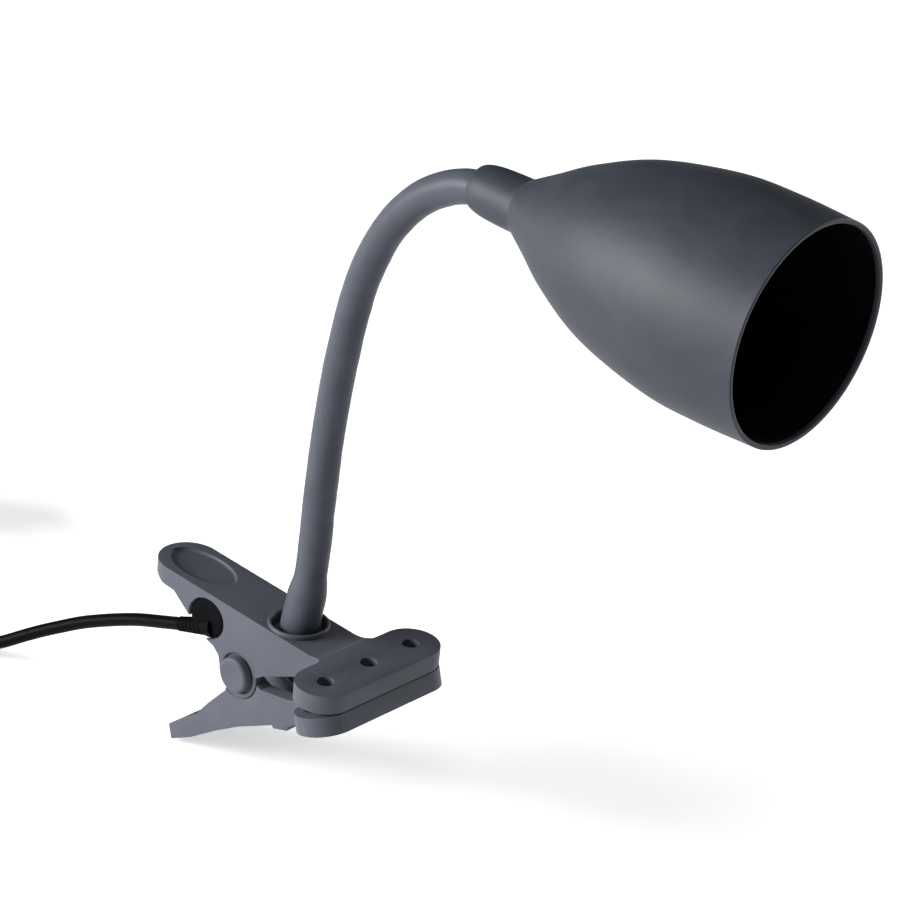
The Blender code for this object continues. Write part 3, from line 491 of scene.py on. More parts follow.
class Paint:
    """A material being built: one Principled BSDF and the nodes that feed it."""

    def __init__(self, name, colour, roughness, metallic=0.0, **extra):
        self.colour = colour
        self.material = bpy.data.materials.new(name)
        self.material.use_nodes = True
        self.material.diffuse_color = (*colour, 1.0)
        self.nodes = self.material.node_tree.nodes
        self.links = self.material.node_tree.links
        self.nodes.clear()
        self.output = self.nodes.new('ShaderNodeOutputMaterial')
        constants = {"Base Color": (*colour, 1.0), "Roughness": roughness, "Metallic": metallic, **extra}
        self.shader = self.node('ShaderNodeBsdfPrincipled', {}, constants)
        self.links.new(self.shader.outputs[0], self.output.inputs[0])

    def node(self, kind, settings, inputs):
        """Adds a node: its settings first, then the values or links of its sockets."""
        made = self.nodes.new(kind)
        for key, value in settings.items():
            setattr(made, key, value)
        for key, value in inputs.items():
            self.fill(made.inputs[key], value)
        return made

    def fill(self, socket, value):
        """Links a socket to a value's output, or sets it to a constant."""
        if isinstance(value, Value):
            value = value.socket
        if isinstance(value, bpy.types.NodeSocket):
            self.links.new(value, socket)
        else:
            socket.default_value = value

    def feed(self, name, value):
        self.fill(self.shader.inputs[name], value)

    def place(self, scale=(1.0, 1.0, 1.0), centre=(0.0, 0.0, 0.0), turn=(0.0, 0.0, 0.0)):
        """Object coordinates, centred, turned and stretched."""
        where = self.node('ShaderNodeTexCoord', {}, {})
        placed = self.node('ShaderNodeMapping', {"vector_type": 'TEXTURE'},
                           {"Vector": where.outputs["Object"], "Location": centre, "Rotation": turn,
                            "Scale": tuple(1.0 / s for s in scale)})
        return placed.outputs[0]

    def grain(self, vector, scale, detail=2.0, roughness=0.5, distortion=0.0):
        """Soft noise from 0 to 1."""
        made = self.node('ShaderNodeTexNoise', {"noise_dimensions": '3D'},
                         {"Vector": vector, "Scale": scale, "Detail": detail, "Roughness": roughness,
                          "Distortion": distortion})
        return Value(self, made.outputs[0])

    def cells(self, vector, scale):
        made = self.node('ShaderNodeTexVoronoi', {"feature": 'F1'}, {"Vector": vector, "Scale": scale})
        return Value(self, made.outputs["Distance"])

    def ramp(self, value, low, high):
        """A smooth step from 0 at low to 1 at high."""
        made = self.node('ShaderNodeMapRange', {"interpolation_type": 'SMOOTHSTEP'},
                         {"Value": value, "From Min": low, "From Max": high})
        return Value(self, made.outputs[0])

    def mixed(self, share, first, second):
        """A colour between two colours."""
        made = self.node('ShaderNodeMix', {"data_type": 'RGBA'}, {})
        for index, value in ((0, share), (6, first), (7, second)):
            self.fill(made.inputs[index], (*value, 1.0) if isinstance(value, tuple) else value)
        return made.outputs[2]

    def bumps(self, *layers):
        """Stacks Bump nodes, each a (height, distance in metres, strength)."""
        normal = None
        for height, distance, strength in layers:
            inputs = {"Height": height, "Distance": distance, "Strength": strength}
            if normal is not None:
                inputs["Normal"] = normal
            normal = self.node('ShaderNodeBump', {}, inputs).outputs[0]
        self.feed("Normal", normal)

    def wear(self):
        """Worn places: 1 on convex edges, 0 elsewhere."""
        made = self.node('ShaderNodeNewGeometry', {}, {})
        return self.ramp(Value(self, made.outputs["Pointiness"]), 0.52, 0.60)

    def shaded(self, share, low, high, *over):
        """The finish's own colour times low to high by share, with (share, factor) layers over it."""
        tone = self.mixed(share, lighter(self.colour, low), lighter(self.colour, high))
        for cover, factor in over:
            tone = self.mixed(cover, tone, lighter(self.colour, factor))
        self.feed("Base Color", tone)


def lighter(colour, factor):
    return tuple(min(1.0, channel * factor) for channel in colour)


def moulded(name, colour, roughness):
    """Satin moulded plastic: a fine spark texture, faint flow marks, handled places and paler edges."""
    paint = Paint(name, colour, roughness, **{"Specular IOR Level": 0.16})
    here = paint.place()
    spark = paint.grain(here, 2600.0, 2.0)
    cloud = paint.grain(here, 42.0, 3.0, 0.55, 0.4)
    smear = paint.grain(paint.place((1.0, 3.2, 1.6)), 95.0, 4.0, 0.6, 0.8)
    paint.shaded(paint.ramp(cloud, 0.3, 0.75), 0.93, 1.08, (paint.wear() * 0.35, 1.6))
    paint.feed("Roughness", roughness - 0.05 + 0.08 * smear + 0.04 * spark)
    paint.bumps((spark, 0.00002, 0.5), (smear, 0.00005, 0.25))
    return paint.material


def shade_finish(colour):
    """The shade's skin: a smooth satin moulding with broad faint smudges and fine dust."""
    paint = Paint("shade_plastic", colour, 0.5, **{"Specular IOR Level": 0.25})
    here = paint.place()
    spark = paint.grain(here, 3200.0, 2.0)
    smudge = paint.grain(paint.place((1.0, 1.4, 2.2)), 38.0, 4.0, 0.6, 1.2)
    streak = paint.grain(paint.place((0.35, 1.6, 1.6)), 60.0, 3.0, 0.5, 0.5)
    dust = paint.ramp(paint.grain(here, 900.0, 1.0), 0.73, 0.8)
    paint.shaded(paint.ramp(smudge, 0.28, 0.74), 0.9, 1.12, (dust * 0.16, 2.4), (paint.wear() * 0.4, 1.7))
    paint.feed("Roughness", 0.45 + 0.1 * smudge + 0.05 * streak)
    paint.bumps((spark, 0.000015, 0.5), (streak, 0.00005, 0.2))
    return paint.material


def sleeve_finish(colour):
    """Soft PVC tube: smooth, slightly stretched along its length, with small scuffs."""
    paint = Paint("sleeve_pvc", colour, 0.42, **{"Specular IOR Level": 0.14})
    here = paint.place()
    fine = paint.grain(here, 2200.0, 2.0)
    dent = paint.grain(here, 260.0, 3.0, 0.55, 0.3)
    scuff = paint.ramp(paint.grain(paint.place((1.0, 1.0, 0.4)), 420.0, 3.0, 0.6, 1.0), 0.62, 0.74)
    paint.shaded(paint.ramp(paint.grain(here, 60.0, 3.0), 0.3, 0.75), 0.92, 1.1, (scuff * 0.22, 1.7))
    paint.feed("Roughness", 0.38 + 0.1 * dent + 0.12 * scuff)
    paint.bumps((fine, 0.00001, 0.4), (dent, 0.00012, 0.35))
    return paint.material


def black_finish(name, colour, roughness, grain_scale, depth, specular=0.03):
    """Black moulding or rubber with a fine texture and a trace of dust."""
    paint = Paint(name, colour, roughness, **{"Specular IOR Level": specular})
    here = paint.place()
    fine = paint.grain(here, grain_scale, 2.0)
    broad = paint.grain(here, 120.0, 3.0)
    dust = paint.ramp(paint.grain(here, 700.0, 2.0), 0.66, 0.78)
    paint.shaded(paint.ramp(broad, 0.3, 0.75), 0.8, 1.3, (dust * 0.12, 5.0))
    paint.feed("Roughness", roughness - 0.04 + 0.1 * broad + 0.05 * fine)
    paint.bumps((fine, depth, 0.5))
    return paint.material


def flex_finish(colour):
    """Round rubbery flex, with the faint rings and scuffs of an extruded jacket."""
    paint = Paint("flex_jacket", colour, 0.46, **{"Specular IOR Level": 0.03})
    here = paint.place()
    fine = paint.grain(here, 1800.0, 2.0)
    ripple = paint.grain(paint.place((1.0, 0.3, 0.3)), 500.0, 2.0)
    scuff = paint.ramp(paint.grain(here, 330.0, 3.0), 0.6, 0.75)
    paint.shaded(scuff * 0.4, 1.0, 2.2)
    paint.feed("Roughness", 0.4 + 0.1 * ripple + 0.12 * scuff)
    paint.bumps((fine, 0.00001, 0.4), (ripple, 0.00003, 0.3))
    return paint.material


def metal_finish(name, colour, roughness, stretch):
    """Plated or drawn metal: fine drag lines, dulled patches and tiny pits."""
    paint = Paint(name, colour, roughness, 1.0)
    lines = paint.grain(paint.place(stretch), 900.0, 3.0, 0.6)
    patch = paint.grain(paint.place(), 160.0, 3.0, 0.6, 0.6)
    pits = paint.ramp(paint.cells(paint.place(), 1300.0), 0.0, 0.16)
    paint.shaded(paint.ramp(patch, 0.35, 0.7), 0.82, 1.06)
    paint.feed("Roughness", roughness - 0.06 + 0.14 * lines + 0.1 * patch)
    paint.bumps((lines, 0.00001, 0.5), (pits, 0.00001, 0.25))
    return paint.material


FINISHES = {}


def finish(name):
    """The named finish, made once."""
    if name not in FINISHES:
        colours = bpy.context.scene.lamp_colours
        clip, shade, sleeve, black, metal, brass = (tuple(getattr(colours, key)) for key in (
            "clip", "shade", "sleeve", "black", "metal", "brass"))
        makers = {
            "clip": (moulded, "clip_plastic", clip, 0.46),
            "shade": (shade_finish, shade),
            "inside": (black_finish, "shade_inside_black", (0.0022, 0.0023, 0.0028), 0.62, 2400.0, 0.00002),
            "sleeve": (sleeve_finish, sleeve),
            "black_plastic": (black_finish, "black_moulding", lighter(black, 3.4), 0.4, 2600.0, 0.00002,
                              0.3),
            "black_rubber": (black_finish, "black_rubber_grip", black, 0.6, 1500.0, 0.00003),
            "flex": (flex_finish, black),
            "steel": (metal_finish, "zinc_plate", metal, 0.34, (1.0, 1.0, 0.15)),
            "brass": (metal_finish, "drawn_brass", brass, 0.3, (0.15, 1.0, 1.0)),
        }
        maker, *choices = makers[name]
        FINISHES[name] = maker(*choices)
    return FINISHES[name]


# ---------------------------------------------------------------- clip

def top_height(x):
    """Height of the upper lever's top surface: level over the jaw, rising gently to the handle."""
    if x > -11.0 * MM:
        return JAW_TOP
    if x > -19.0 * MM:
        return JAW_TOP - 1.1 * MM * (-11.0 * MM - x) / (8.0 * MM)
    return JAW_TOP - 1.1 * MM + TOP_SLOPE * (-19.0 * MM - x)


def lever_plan(rear_end, rounded_end):
    """Outline of a lever seen from above: a narrow body and a jaw bar with two round lobes."""
    half = arc(0.0, HOLE_PITCH, LOBE_RADIUS, 0.0, 180.0, 30)
    fillet = 3.6 * MM
    half += arc(-LOBE_RADIUS - fillet, BODY_HALF_WIDTH + fillet, fillet, 0.0, -90.0, 9)[1:]
    if rounded_end:
        half += arc(rear_end + BODY_HALF_WIDTH, 0.0, BODY_HALF_WIDTH, 90.0, 180.0, 18)
    else:
        corner = 2.4 * MM
        half += arc(rear_end + corner, BODY_HALF_WIDTH - corner, corner, 90.0, 180.0, 6)
    mirrored = [(x, -y) for x, y in reversed(half) if y > 1e-7]
    return half + mirrored


def pad_outline(jaw_x, radius):
    """A long rounded pad across the jaw, set back from its front edge."""
    points = arc(jaw_x - PAD_BACK, HOLE_PITCH, radius, 0.0, 180.0, 16)
    points += arc(jaw_x - PAD_BACK, -HOLE_PITCH, radius, 180.0, 360.0, 16)
    return points


def upper_profile():
    """Side view of the upper lever."""
    points = [(14.0 * MM, JAW_TOP), (-11.0 * MM, JAW_TOP), (-13.0 * MM, JAW_TOP - 0.12 * MM),
              (-17.0 * MM, JAW_TOP - 0.85 * MM), (-19.0 * MM, top_height(-19.0 * MM)),
              (-114.0 * MM, top_height(-114.0 * MM))]
    points += mm([(-114.0, 5.7), (-105.0, 4.3), (-101.5, 2.9), (-94.3, 2.2), (-84.9, -4.8), (-78.0, -9.9),
                  (-70.5, -12.4), (-67.4, -15.0)])
    points += arc(PIVOT.x, PIVOT.z, EAR_RADIUS, 180.0, 372.0, 36)
    points += mm([(-42.6, -13.5), (-27.2, -6.5)])
    return points + [(-12.4 * MM, JAW_UNDERSIDE), (14.0 * MM, JAW_UNDERSIDE)]


def flared_hole(name, radius, low, high, rim):
    """A cutter for a round hole through a plate, with a softened rim at both faces."""
    outline = [(low - 5.0 * MM, 0.0), (low - 5.0 * MM, radius + rim), (low, radius + rim)]
    outline += [(low + rim * (1.0 - math.cos(a)), radius + rim * (1.0 - math.sin(a)))
                for a in (math.radians(22.5 * step) for step in range(1, 5))]
    outline += [(high - rim * (1.0 - math.cos(a)), radius + rim * (1.0 - math.sin(a)))
                for a in (math.radians(90.0 - 22.5 * step) for step in range(4))]
    outline += [(high, radius + rim), (high + 5.0 * MM, radius + rim), (high + 5.0 * MM, 0.0)]
    return turned(name, outline, 48, closed=False)


def stepped_bore(name, wide_from, wide_radius, centre):
    """A cutter along Y for the pin, wide outside a given half width and with softened rims."""
    far = 30.0 * MM
    bore = 2.4 * MM
    rim = 0.45 * MM
    half = [(wide_from, bore), (wide_from, wide_radius), (BODY_HALF_WIDTH - rim, wide_radius),
            (BODY_HALF_WIDTH + 0.01 * MM, wide_radius + rim), (far, wide_radius + rim), (far, 0.0)]
    outline = [(-along, radius) for along, radius in reversed(half)] + half
    return put(turned(name, outline, 72, closed=False), along_y(centre, 1))


class LAMP_OT_upper_lever(bpy.types.Operator):
    """Mould the upper lever: jaw plate with three holes, neck socket, cheeks and thumb handle"""

    bl_idname = "lamp.upper_lever"
    bl_label = "Upper lever"

    def execute(self, context):
        lever = slab("clip_upper_lever", upper_profile(), -45.0 * MM, 45.0 * MM, 'Y')
        plan = lever_plan(HANDLE_END_X, True)
        combine(lever, slab("plan", plan, -60.0 * MM, 30.0 * MM), operation='INTERSECT')
        soften(lever, context.scene.lamp_sizes.edge, 4)
        inside = BODY_HALF_WIDTH - WALL
        front, rear = -16.0 * MM, -107.0 * MM
        side = [(x, top_height(x) - PLATE) for x in (front, -19.0 * MM, rear)]
        side += [(rear, -60.0 * MM), (front, -60.0 * MM)]
        plan = [(front, inside)]
        plan += arc(HANDLE_END_X + BODY_HALF_WIDTH, 0.0, inside, 90.0, 270.0, 30)
        plan += [(front, -inside)]
        hollow = slab("hollow", side, -20.0 * MM, 20.0 * MM, 'Y')
        combine(hollow, slab("hollow_plan", plan, -70.0 * MM, 30.0 * MM), operation='INTERSECT')
        soften(hollow, 0.8 * MM, 2)
        combine(lever, hollow)
        dish_x = -91.5 * MM
        angles = [math.radians(degrees) for degrees in range(0, 360, 5)]
        rim = mm([(17.0 * math.cos(a), 9.3 * math.sin(a)) for a in angles])
        dish = soften(slab("dish", rim, -1.25 * MM, 5.0 * MM), 1.15 * MM, 6, 60.0)
        lean = Matrix.Rotation(math.atan(TOP_SLOPE), 4, 'Y')
        put(dish, Matrix.Translation((dish_x, 0.0, top_height(dish_x))) @ lean)
        combine(lever, dish)
        notch = [(-3.0 * MM, 0.0), (-3.0 * MM, 1.0), (2.5 * MM, 1.0), (3.0 * MM, 1.04), (5.0 * MM, 1.04),
                 (5.0 * MM, 0.0)]
        notch = turned("notch", notch, 64, closed=False)
        combine(lever, put(notch, on_notch(-10.0 * MM, 9.8 * MM, 8.6 * MM)))
        combine(lever, relief_shape("way_out", 0.6 * MM))
        combine(lever, stepped_bore("caps", BODY_HALF_WIDTH - CAP_RECESS, CAP_RADIUS + 0.9 * MM, PIVOT))
        for side in (-1, 0, 1):
            hole = flared_hole("hole", HOLE_RADIUS, 0.0, JAW_TOP, 0.25 * MM)
            combine(lever, put(hole, upright((0.0, side * HOLE_PITCH, 0.0))))
        combine(lever, slab("recess", pad_outline(0.0, PAD_RADIUS + GAP), -5.0 * MM, PAD_THICKNESS))
        lip = top_height(SOCKET_X) + 1.5 * MM
        floor = top_height(SOCKET_X) - SOCKET_DEPTH
        under = floor - SOCKET_FLOOR
        middle = (RECESS_RADIUS + SOCKET_RADIUS) / 2.0
        opening = [(-20.0 * MM, 0.0), (-20.0 * MM, middle), (30.0 * MM, middle), (30.0 * MM, 0.0)]
        combine(lever, put(turned("opening", opening, 64, closed=False), upright((SOCKET_X, 0.0, 0.0))))
        bore = 4.8 * MM
        wall = SOCKET_RADIUS - RECESS_RADIUS
        section = [(under, bore), (under, SOCKET_RADIUS - 0.5 * MM), (under + 0.5 * MM, SOCKET_RADIUS),
                   (lip - 1.9 * MM, SOCKET_RADIUS), (lip - 1.6 * MM, SOCKET_RADIUS + 0.1 * MM),
                   (lip - 0.5 * wall, SOCKET_RADIUS)]
        round_over = [(b, a) for a, b in arc(middle, lip - 0.5 * wall, 0.5 * wall, 22.5, 157.5, 6)]
        section += round_over
        section += [(lip - 0.5 * wall, RECESS_RADIUS), (floor + 0.4 * MM, RECESS_RADIUS),
                    (floor, RECESS_RADIUS - 0.4 * MM), (floor, bore)]
        cup = put(turned("cup", section, 96), upright((SOCKET_X, 0.0, 0.0)))
        combine(lever, cup, operation='UNION')
        done(tidy(lever), "clip", "clamp", "upper_lever", angle=28.0)
        return {'FINISHED'}


def lower_profile():
    """Side view of the lower lever about the pivot, with its jaw plate level."""
    front = [(71.0, -2.7), (52.0, -2.7), (47.0, -2.9), (44.0, -3.9), (38.0, -6.4), (33.0, -7.2),
             (26.5, -7.4), (12.0, -5.2)]
    back = [(-8.6, -8.0), (-20.8, -15.4), (-32.4, -23.3), (-37.0, -24.0), (-50.1, -28.9), (-49.3, -34.5),
            (-34.1, -31.5), (-18.4, -26.5), (-4.6, -22.9), (15.5, -19.4), (16.2, -20.6), (23.6, -20.6),
            (24.4, -18.9), (38.0, -14.5), (52.0, -10.2), (71.0, -10.2)]
    return mm(front) + arc(0.0, 0.0, 7.6 * MM, -10.0, 205.0, 34) + mm(back)


class LAMP_OT_lower_lever(bpy.types.Operator):
    """Mould the lower lever: a channel with two cheeks, jaw bar and straight handle end"""

    bl_idname = "lamp.lower_lever"
    bl_label = "Lower lever"

    def execute(self, context):
        lever = slab("clip_lower_lever", lower_profile(), -45.0 * MM, 45.0 * MM, 'Y')
        plan = [(x + LOWER_JAW_X, y) for x, y in lever_plan(-48.0 * MM - LOWER_JAW_X, False)]
        combine(lever, slab("plan", plan, -60.0 * MM, 30.0 * MM), operation='INTERSECT')
        soften(lever, context.scene.lamp_sizes.edge, 4)
        channel = mm([(-44.0, -30.4), (-34.1, -29.1), (-18.4, -24.0), (-4.6, -20.4), (15.5, -16.9),
                      (30.0, -14.4), (42.0, -10.2), (42.0, 30.0), (-44.0, 30.0)])
        half = 6.9 * MM
        combine(lever, soften(slab("channel", channel, -half, half, 'Y'), 0.8 * MM, 2))
        combine(lever, stepped_bore("ears", BODY_HALF_WIDTH - WALL - GAP, EAR_RADIUS + 0.4 * MM, Vector()))
        recess = pad_outline(LOWER_JAW_X, PAD_RADIUS + GAP)
        combine(lever, slab("recess", recess, LOWER_JAW_TOP - PAD_THICKNESS + GAP, 10.0 * MM))
        put(lever, on_lower())
        done(tidy(lever), "clip", "lower_lever", "lower_lever", angle=28.0)
        return {'FINISHED'}


class LAMP_OT_grip_pads(bpy.types.Operator):
    """Mould the two ribbed rubber pads that grip the shelf"""

    bl_idname = "lamp.grip_pads"
    bl_label = "Grip pads"

    def execute(self, context):
        def ribbed(name, low, high, face_down):
            pad = soften(slab(name, pad_outline(0.0, PAD_RADIUS), low, high), 0.35 * MM, 2)
            depth = 0.45 * MM
            edge = (low - MM, low + depth) if face_down else (high - depth, high + MM)
            for step in range(-3, 4):
                place = step * 1.35 * MM - PAD_BACK
                combine(pad, block("groove", (place - 0.27 * MM, -40.0 * MM, edge[0]),
                                   (place + 0.27 * MM, 40.0 * MM, edge[1])))
            return pad

        upper = ribbed("grip_pad_upper", 0.0, PAD_THICKNESS - GAP, True)
        done(upper, "black_rubber", "clamp", "upper_grip_pad")
        low = LOWER_JAW_TOP - PAD_THICKNESS + 2.0 * GAP
        lower = ribbed("grip_pad_lower", low, LOWER_JAW_TOP + GAP, False)
        put(lower, on_lower() @ Matrix.Translation((LOWER_JAW_X, 0.0, 0.0)))
        done(lower, "black_rubber", "lower_lever", "lower_grip_pad")
        return {'FINISHED'}


class LAMP_OT_pivot(bpy.types.Operator):
    """Turn the pin and its two caps, and wind the torsion spring"""

    bl_idname = "lamp.pivot"
    bl_label = "Pivot, caps and spring"

    def execute(self, context):
        reach = BODY_HALF_WIDTH - CAP_RECESS - 2.0 * GAP
        chamfer = 0.4 * MM
        pin = [(-reach, 0.0), (-reach, 2.0 * MM - chamfer), (-reach + chamfer, 2.0 * MM),
               (reach - chamfer, 2.0 * MM), (reach, 2.0 * MM - chamfer), (reach, 0.0)]
        pin = put(turned("clip_pivot_pin", pin, 32, closed=False), along_y(PIVOT, 1))
        done(pin, "steel", "clamp", "pivot_pin")
        t = CAP_THICKNESS
        outline = [(0.0, 0.0), (0.0, CAP_RADIUS - 0.3 * MM), (0.3 * MM, CAP_RADIUS)]
        outline += [(t - below, CAP_RADIUS - inset) for below, inset in mm([
            (1.0, 0.0), (0.8, 0.06), (0.25, 0.62), (0.05, 0.95), (0.0, 1.3), (0.1, 2.6)])]
        outline += [(t - 0.28 * MM, 2.0 * MM), (t - 0.3 * MM, 0.0)]
        cap = turned("clip_pivot_cap_far", outline, 96, closed=False)
        twin = copy_of(cap, "clip_pivot_cap_near")
        for piece, side, node in ((twin, -1, "pivot_cap_near"), (cap, 1, "pivot_cap_far")):
            seat = PIVOT + side * (BODY_HALF_WIDTH - CAP_RECESS + GAP) * Y_AXIS
            put(piece, along_y(seat, side))
            done(piece, "clip", "clamp", node)
        coil_radius = 4.7 * MM
        turns = 5
        half_width = 5.4 * MM
        start = math.radians(35.0)
        sweep = -2.0 * math.pi * turns - math.radians(50.0)
        count = turns * 40
        points = []
        for step in range(count + 1):
            share = step / count
            angle = start + sweep * share
            across = -half_width + 2.0 * half_width * share
            points.append(PIVOT + Vector((math.cos(angle) * coil_radius, across,
                                          math.sin(angle) * coil_radius)))
        upper_leg = Vector((-37.0 * MM, -half_width, -8.6 * MM))
        lower_leg = PIVOT + Vector((22.0 * MM, half_width, -9.6 * MM))
        first = [upper_leg.lerp(points[0], share / 8.0) for share in range(8)]
        last = [points[-1].lerp(lower_leg, share / 8.0) for share in range(1, 9)]
        spring = as_mesh(tube("clip_torsion_spring", first + points + last, 0.8 * MM, 3))
        done(spring, "steel", None, "clamp_spring", angle=50.0)
        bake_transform(spring)
        return {'FINISHED'}


# ---------------------------------------------------------------- neck

class NeckLine:
    """The neck's centreline, read by distance from the socket floor."""

    def __init__(self):
        self.points = smooth_points([(x * MM, 0.0, z * MM) for x, z in NECK_ROUTE], 1.5 * MM)
        self.length = route_length(self.points)
        self.step = self.length / (len(self.points) - 1)

    def at(self, distance):
        place = min(max(distance / self.step, 0.0), len(self.points) - 1.0001)
        index = int(place)
        return self.points[index].lerp(self.points[index + 1], place - index)

    def along(self, distance):
        ahead = self.at(min(distance + self.step, self.length))
        behind = self.at(max(distance - self.step, 0.0))
        return (ahead - behind).normalized()


def foot_flare(travelled):
    """The sleeve is stretched over a wider ferrule at the foot."""
    flare = min(1.0, max(0.0, (28.5 * MM - travelled) / (12.0 * MM)))
    flare = flare * flare * (3.0 - 2.0 * flare)
    return (FOOT_RADIUS - SLEEVE_RADIUS) * flare


def dent_at(place, outward):
    """Share of the dents' depth at a place on the sleeve, deepest on the inside of its bend."""
    soft = noise.noise(place * 70.0) + 0.7 * noise.noise(place * 190.0 + Vector((3.1, 0.0, 1.7)))
    inner = 0.5 + 0.5 * max(0.0, min(1.0, outward.x * 0.9 - outward.z * 0.4))
    return inner * max(-0.4, soft)


def swept(name, line, stations, sides, dents=0.0):
    """A closed skin through rings along the neck. Each station is (distance, radius)."""
    clear_selection()
    bpy.ops.mesh.primitive_circle_add(vertices=sides, radius=1.0)
    piece = named(bpy.context.active_object, name)
    bpy.ops.object.mode_set(mode='EDIT')
    for _ in stations[1:]:
        extrude_by((0.0, 0.0, MM))
    bpy.ops.mesh.select_all(action='SELECT')
    bpy.ops.mesh.fill_holes(sides=0)
    leave_edit()
    for index, (distance, radius) in enumerate(stations):
        centre, direction = line.at(distance), line.along(distance)
        upward = direction.cross(Y_AXIS).normalized()
        for turn in range(sides):
            angle = 2.0 * math.pi * turn / sides
            outward = math.cos(angle) * Y_AXIS + math.sin(angle) * upward
            place = centre + radius * outward
            piece.data.vertices[index * sides + turn].co = place - dents * dent_at(place, outward) * outward
    return tidy(piece)


class LAMP_OT_neck_foot(bpy.types.Operator):
    """Turn the ferrule in the sleeve's foot, its washer and its locknut"""

    bl_idname = "lamp.neck_foot"
    bl_label = "Neck foot"

    def execute(self, context):
        line = NeckLine()
        axis = upright((SOCKET_X, 0.0, 0.0))
        under = top_height(SOCKET_X) - SOCKET_DEPTH - SOCKET_FLOOR
        low = under - 6.2 * MM
        root, outside = 4.05 * MM, 4.4 * MM
        crest = low + 0.5 * MM
        thread = [(low, 0.0), (low, 3.8 * MM), (crest, outside)]
        pitch = 0.75 * MM
        while crest + pitch < under + 2.0 * MM:
            thread += [(crest + 0.5 * pitch, root), (crest + pitch, outside)]
            crest += pitch
        foot, head = line.at(0.4 * MM), line.at(11.4 * MM)
        top = foot.z + 2.0 * MM
        thread += [(top, outside), (top, 0.0)]
        shank = put(turned("neck_foot_stud", thread, 48, closed=False), axis)
        long = (head - foot).length
        barrel = [(0.0, 0.0), (0.0, 5.2 * MM), (0.4 * MM, 5.6 * MM), (long - 0.8 * MM, 5.6 * MM),
                  (long, 5.0 * MM), (long, 0.0)]
        barrel = turned("barrel", barrel, 48, closed=False)
        combine(shank, put(barrel, Matrix.Translation(foot) @ facing(head - foot)), operation='UNION')
        done(shank, "steel", "clamp", "neck_foot_ferrule")
        washer = [(under - GAP, 5.0 * MM), (under - GAP, 8.8 * MM), (under - 0.5 * MM, 9.0 * MM),
                  (under - 1.3 * MM, 9.0 * MM), (under - 1.3 * MM, 5.0 * MM)]
        done(put(turned("neck_foot_washer", washer, 64), axis), "steel", "clamp", "neck_washer")
        nut = mm([(-1.6, 5.0), (-1.6, 7.8), (-5.6, 7.8), (-5.6, 5.0)], under)
        nut = soften(put(turned("neck_foot_locknut", nut, 6), axis), 0.35 * MM, 2)
        done(nut, "steel", "clamp", "neck_locknut")
        return {'FINISHED'}


class LAMP_OT_neck(bpy.types.Operator):
    """Draw the neck: a sleeve over a ribbed steel conduit, in lengths that each span one of the neck's
    joints
    """

    bl_idname = "lamp.neck"
    bl_label = "Neck"

    def execute(self, context):
        line = NeckLine()
        joints = [share * line.length for share in NECK_JOINT_FRACTIONS]
        middles = [0.0] + [(a + b) / 2.0 for a, b in zip(joints, joints[1:])] + [line.length]
        depth = context.scene.lamp_sizes.dents
        for index, joint in enumerate(joints):
            first, last = middles[index], middles[index + 1]
            start, end = line.at(joint - 16.0 * MM), line.at(joint + 16.0 * MM)
            count = max(8, round((last - first) / (0.9 * MM)))
            distances = [first + (last - first) * step / count for step in range(count + 1)]
            stations = [(distance, SLEEVE_RADIUS + foot_flare(distance)) for distance in distances]
            if index == 0:
                stations = [station for station in stations if station[0] > 1.4 * MM]
                stations = [(0.9 * MM, 4.5 * MM), (0.9 * MM, FOOT_RADIUS - 0.5 * MM),
                            (1.3 * MM, FOOT_RADIUS)] + stations
            numbers = (index + 1, index + 2) if index == len(joints) - 1 else (index + 1,)
            sleeve = swept(f"neck_sleeve_length_{index + 1}", line, stations, 56, depth)
            done(sleeve, "sleeve", None, *(f"neck_sleeve_{number}" for number in numbers), angle=60.0)
            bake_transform(sleeve)
            low, high = max(first, 12.0 * MM), min(last, line.length - 12.0 * MM)
            ribs = []
            turns = max(2, round((high - low) / CONDUIT_PITCH))
            pitch = (high - low) / turns
            for step in range(turns):
                near = low + (high - low) * step / turns
                ribs += [(near, CONDUIT_ROOT), (near + 0.25 * pitch, CONDUIT_CREST),
                         (near + 0.7 * pitch, CONDUIT_CREST)]
            ribs += [(high, CONDUIT_ROOT)]
            conduit = swept(f"neck_conduit_length_{index + 1}", line, ribs, 24)
            done(conduit, "steel", None, *(f"neck_core_{number}" for number in numbers), angle=60.0)
            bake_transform(conduit)
        return {'FINISHED'}


# ---------------------------------------------------------------- head

def bell_points():
    """The outside of the bell, finely spaced, as (along, radius) in millimetres."""
    return [(point.x, point.y) for point in smooth_points([(x, r, 0.0) for x, r in BELL], 1.6)]


def offset_line(points, depth):
    moved = []
    for index, point in enumerate(points):
        before = Vector(points[max(0, index - 1)])
        after = Vector(points[min(len(points) - 1, index + 1)])
        slope = (after - before).normalized()
        moved.append((point[0] + depth * slope.y, point[1] - depth * slope.x))
    return moved


